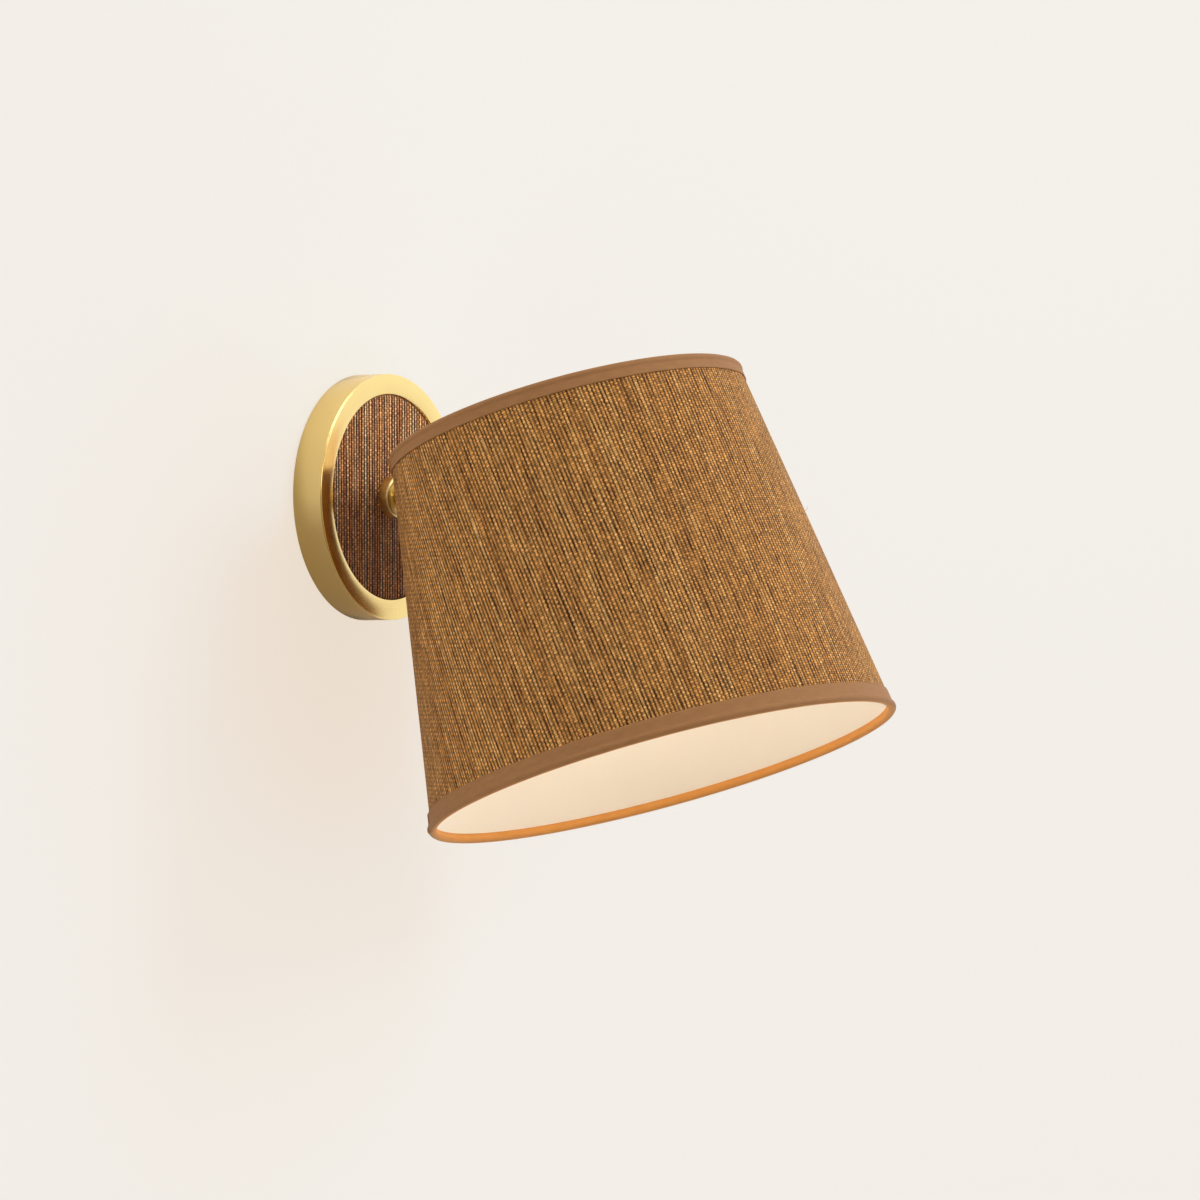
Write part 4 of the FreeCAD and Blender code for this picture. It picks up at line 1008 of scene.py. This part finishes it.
# the screw shell and the bulb, with starts and ends down from the shade's top
lamp = {
    "threadPitch": 3.629,
    "threadDepth": 0.85,
    "threadFrom": 1.0,  # from the cap's start
    "threadTo": 7.5,  # from the cap's end
    "rowHeight": 0.42,
    "capRadius": 13.05,
    "capWall": 0.4,
    "capStart": 61.05,
    "capLength": 23.0,
    "neckRadius": 14.2,
    "neckLength": 7.0,
    "shoulder": (0.9, 2.5),  # in from the neck, and past the cap
    "glassRadius": 30.0,
    "glassLength": 79.0,
    "glassWall": 0.8,
    "shellBore": 13.4,
    "shellWall": 0.6,
    "shellStart": 56.0,
    "shellEnd": 77.2,
}


def pressThread(bm, low, high):
    # press a rolled thread into a turned sleeve, fading out at both ends
    pitch, depth = lamp["threadPitch"], lamp["threadDepth"]
    for vert in bm.verts:
        drop = vert.co.z / mm
        if not low - pitch < drop < high + pitch:
            continue
        fade = max(0.0, min(1.0, (drop - low) / 2, (high - drop) / 2))
        turn = math.atan2(vert.co.x, vert.co.y) / (2 * math.pi)
        wave = 0.5 + 0.5 * math.cos(2 * math.pi * (drop / pitch - turn))
        moveOut(vert, -depth * mm * fade * (1 - wave))


def sleeve(radius, wall, low, high):
    rows = max(2, int((high - low) / lamp["rowHeight"]))
    heights = [low + (high - low) * row / rows for row in range(rows + 1)]
    outer = [(radius * mm, height * mm) for height in heights]
    inner = [((radius - wall) * mm, height * mm) for height in reversed(heights)]
    return lathe(outer + inner, 96)


def makeThreads():
    start, end = lamp["capStart"], lamp["capStart"] + lamp["capLength"]
    bm = sleeve(lamp["capRadius"], lamp["capWall"], start, end)
    pressThread(bm, start + lamp["threadFrom"], end - lamp["threadTo"])
    finishPiece("bulb_cap_threaded", bm, shadeFrame, "solder", "bulb", ["bulb_cap"], 60)
    outside = lamp["shellBore"] + lamp["shellWall"]
    bm = sleeve(outside, lamp["shellWall"], lamp["shellStart"], lamp["shellEnd"])
    finishPiece("screw_shell_made", bm, shadeFrame, "contact_brass", "shade_head", ["screw_shell"], 60)


def makeGlass():
    # a round opal bulb: neck, straight shoulder and ball
    capEnd = lamp["capStart"] + lamp["capLength"]
    ball = lamp["glassRadius"]
    middle = capEnd + lamp["glassLength"] - ball
    neck = (lamp["neckRadius"], capEnd + lamp["neckLength"])
    rise = middle - neck[1]
    reach = math.hypot(neck[0], rise)
    touch = math.pi - math.atan2(neck[0], rise) - math.acos(ball / reach)
    narrower, past = lamp["shoulder"]
    outer = [(lamp["capRadius"] - lamp["capWall"], capEnd), (neck[0] - narrower, capEnd + past), neck]
    steps = 26
    for step in range(steps + 1):
        angle = touch * (1 - step / steps)
        outer.append((ball * math.sin(angle), middle + ball * math.cos(angle)))
    bm = lathe([(r * mm, z * mm) for r, z in outer], 128, False)
    made = finishPiece("bulb_glass_opal", bm, shadeFrame, "frosted_glass", "bulb", ["bulb_glass"], 60)
    thicken(made, lamp["glassWall"], -1.0)


def makeFinial():
    bm = soften(takeNode("finial"), 0.2)
    finishPiece("finial_turned", bm, None, "shade_brass", "shade_head", ["finial"], 50)


# driver slots: the side of the screw, the cutter's turn, its kind and its sizes
driverSlots = {
    "ground_screw": (1, 0, block, (1.0, 2.4, 9.2)),
    "pivot_screw": (0, 90, rod, (1.25, 1.8)),
    "arm_grub_screw": (2, 0, rod, (0.75, 2.0)),
}


def makeDriverSlots(made):
    for node, (side, turn, cutter, sizes) in driverSlots.items():
        spot = middleOf(node)
        spot[side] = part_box(node)[0][side]
        carve(made[node], cutter(*sizes, Matrix.Translation(spot) @ turnedBy(turn, "Y")))


print("modelling the hard pieces")
hard = makeHardPieces()
makeDriverSlots(hard)
keepNodes()
makePlate()
makeInlay()
print("modelling the lamp")
makeThreads()
makeGlass()
makeFinial()
print("modelling the shade")
coverPiece = shadeLayer("shade_cover_cloth", 0.0, shade["coverThickness"], "shade_weave", "shade_cover")
shadeLayer("shade_lining_card", shade["coverThickness"], wallLayers, "lining", "shade_liner")
makeTrims()
makeLooseFibres()


def makeStage():
    bm = bmesh.new()
    rings = []
    for radius in (stageLook["wallHole"] * mm, stageLook["wallReach"]):
        rings += bmesh.ops.create_circle(bm, segments=stageLook["wallSides"], radius=radius)["verts"]
    loops = {edge for vert in rings for edge in vert.link_edges}
    bmesh.ops.bridge_loops(bm, edges=list(loops))
    if bm.faces[:][0].normal.z < 0:
        bmesh.ops.reverse_faces(bm, faces=bm.faces)
    bmesh.ops.transform(bm, matrix=wallFrame, verts=bm.verts)
    bmesh.ops.translate(bm, vec=(0, stageLook["wallGap"] * mm, 0), verts=bm.verts)
    wall, mesh = addMesh("wall", bm)
    finish = Finish("paleWall", 0.9)
    finish.set("Base Color", stageLook["wall"])
    finish.set("Specular IOR Level", 0.1)
    # the camera sees an even wall with faint, warm shadows, and looks through it from behind
    pairs = list(zip(stageLook["wall"], stageLook["wallShadows"]))
    lit = tuple(part * share for part, share in pairs) + (1.0,)
    even = tuple(part * (1 - share) for part, share in pairs) + (1.0,)
    shaded = finish.node("ShaderNodeBsdfDiffuse", {0: lit})[0]
    glowing = finish.node("ShaderNodeEmission", {0: even})[0]
    shown = finish.node("ShaderNodeAddShader", {0: shaded, 1: glowing})[0]
    isCamera = finish.node("ShaderNodeLightPath")["Is Camera Ray"]
    seen = finish.node("ShaderNodeMixShader", {0: isCamera, 1: finish.shader.outputs[0], 2: shown})[0]
    behind = finish.node("ShaderNodeNewGeometry")["Backfacing"]
    clear = finish.node("ShaderNodeBsdfTransparent")[0]
    chosen = finish.node("ShaderNodeMixShader", {0: behind, 1: seen, 2: clear})[0]
    finish.feed(finish.nodes["Material Output"].inputs["Surface"], chosen)
    mesh.materials.append(finish.material)


# soft lamps: where each one is, its width, its power and its colour
softLamps = {
    "key": {"place": (0.9, -2.6, 1.5), "size": 1.1, "power": 27.0, "colour": (1.0, 0.98, 0.95)},
    "fill": {"place": (-2.3, -0.35, 0.7), "size": 0.9, "power": 7.0, "colour": (1.0, 0.96, 0.9)},
}


def makeSky():
    world = bpy.data.worlds.new("room")
    world.use_nodes = True
    sky = Nodes(world.node_tree)
    inputs = {0: sky.node("ShaderNodeTexCoord")["Generated"], 1: stageLook["skySlope"]}
    slope = sky.node("ShaderNodeVectorMath", inputs, operation="DOT_PRODUCT")["Value"]
    background = sky.nodes["Background"].inputs
    sky.feed(background["Strength"], sky.plus(slope, stageLook["sky"]))
    sky.feed(background["Color"], stageLook["skyColour"])
    bpy.context.scene.world = world


def makeLights():
    makeSky()
    aimed = shadeFrame @ Vector((0, 0, shade["height"] / 2 * mm))
    for name, look in softLamps.items():
        soft = bpy.data.lights.new(name, "AREA")
        soft.size = look["size"]
        soft.energy = look["power"]
        soft.color = look["colour"]
        holder = bpy.data.objects.new(name, soft)
        holder.location = look["place"]
        holder.rotation_euler = (aimed - holder.location).to_track_quat("-Z", "Y").to_euler()
        bpy.context.scene.collection.objects.link(holder)


view = {
    "azimuth": -57.578,
    "elevation": -0.631,
    "roll": -0.208,
    "distance": 3.498975,
    "aside": -0.122573,  # how far the object's origin lies from the middle of the picture
    "above": 0.053009,
    "focal": 6762.387,  # in pixels of a picture 1200 wide
    "pictureWidth": 1200,
    "sensor": 36.0,  # millimetres
    "reach": 50.0,  # metres
}


def makeCamera():
    turn, rise, roll = (math.radians(view[key]) for key in ("azimuth", "elevation", "roll"))
    back = Vector((math.sin(turn) * math.cos(rise), -math.cos(turn) * math.cos(rise), math.sin(rise)))
    right = Vector((math.cos(turn), math.sin(turn), 0))
    up = back.cross(right)
    right, up = right * math.cos(roll) + up * math.sin(roll), up * math.cos(roll) - right * math.sin(roll)
    camera = bpy.data.cameras.new("camera")
    camera.sensor_width = view["sensor"]
    camera.lens = view["focal"] / view["pictureWidth"] * view["sensor"]
    camera.clip_end = view["reach"]
    holder = bpy.data.objects.new("camera", camera)
    place = back * view["distance"] - right * view["aside"] - up * view["above"]
    turned = Matrix((right, up, back)).transposed().to_4x4()
    holder.matrix_world = Matrix.Translation(place) @ turned
    bpy.context.scene.collection.objects.link(holder)
    bpy.context.scene.camera = holder


makeStage()
makeLights()
makeCamera()
bpy.context.scene.view_settings.view_transform = "Standard"
print("stage, lights and camera set")
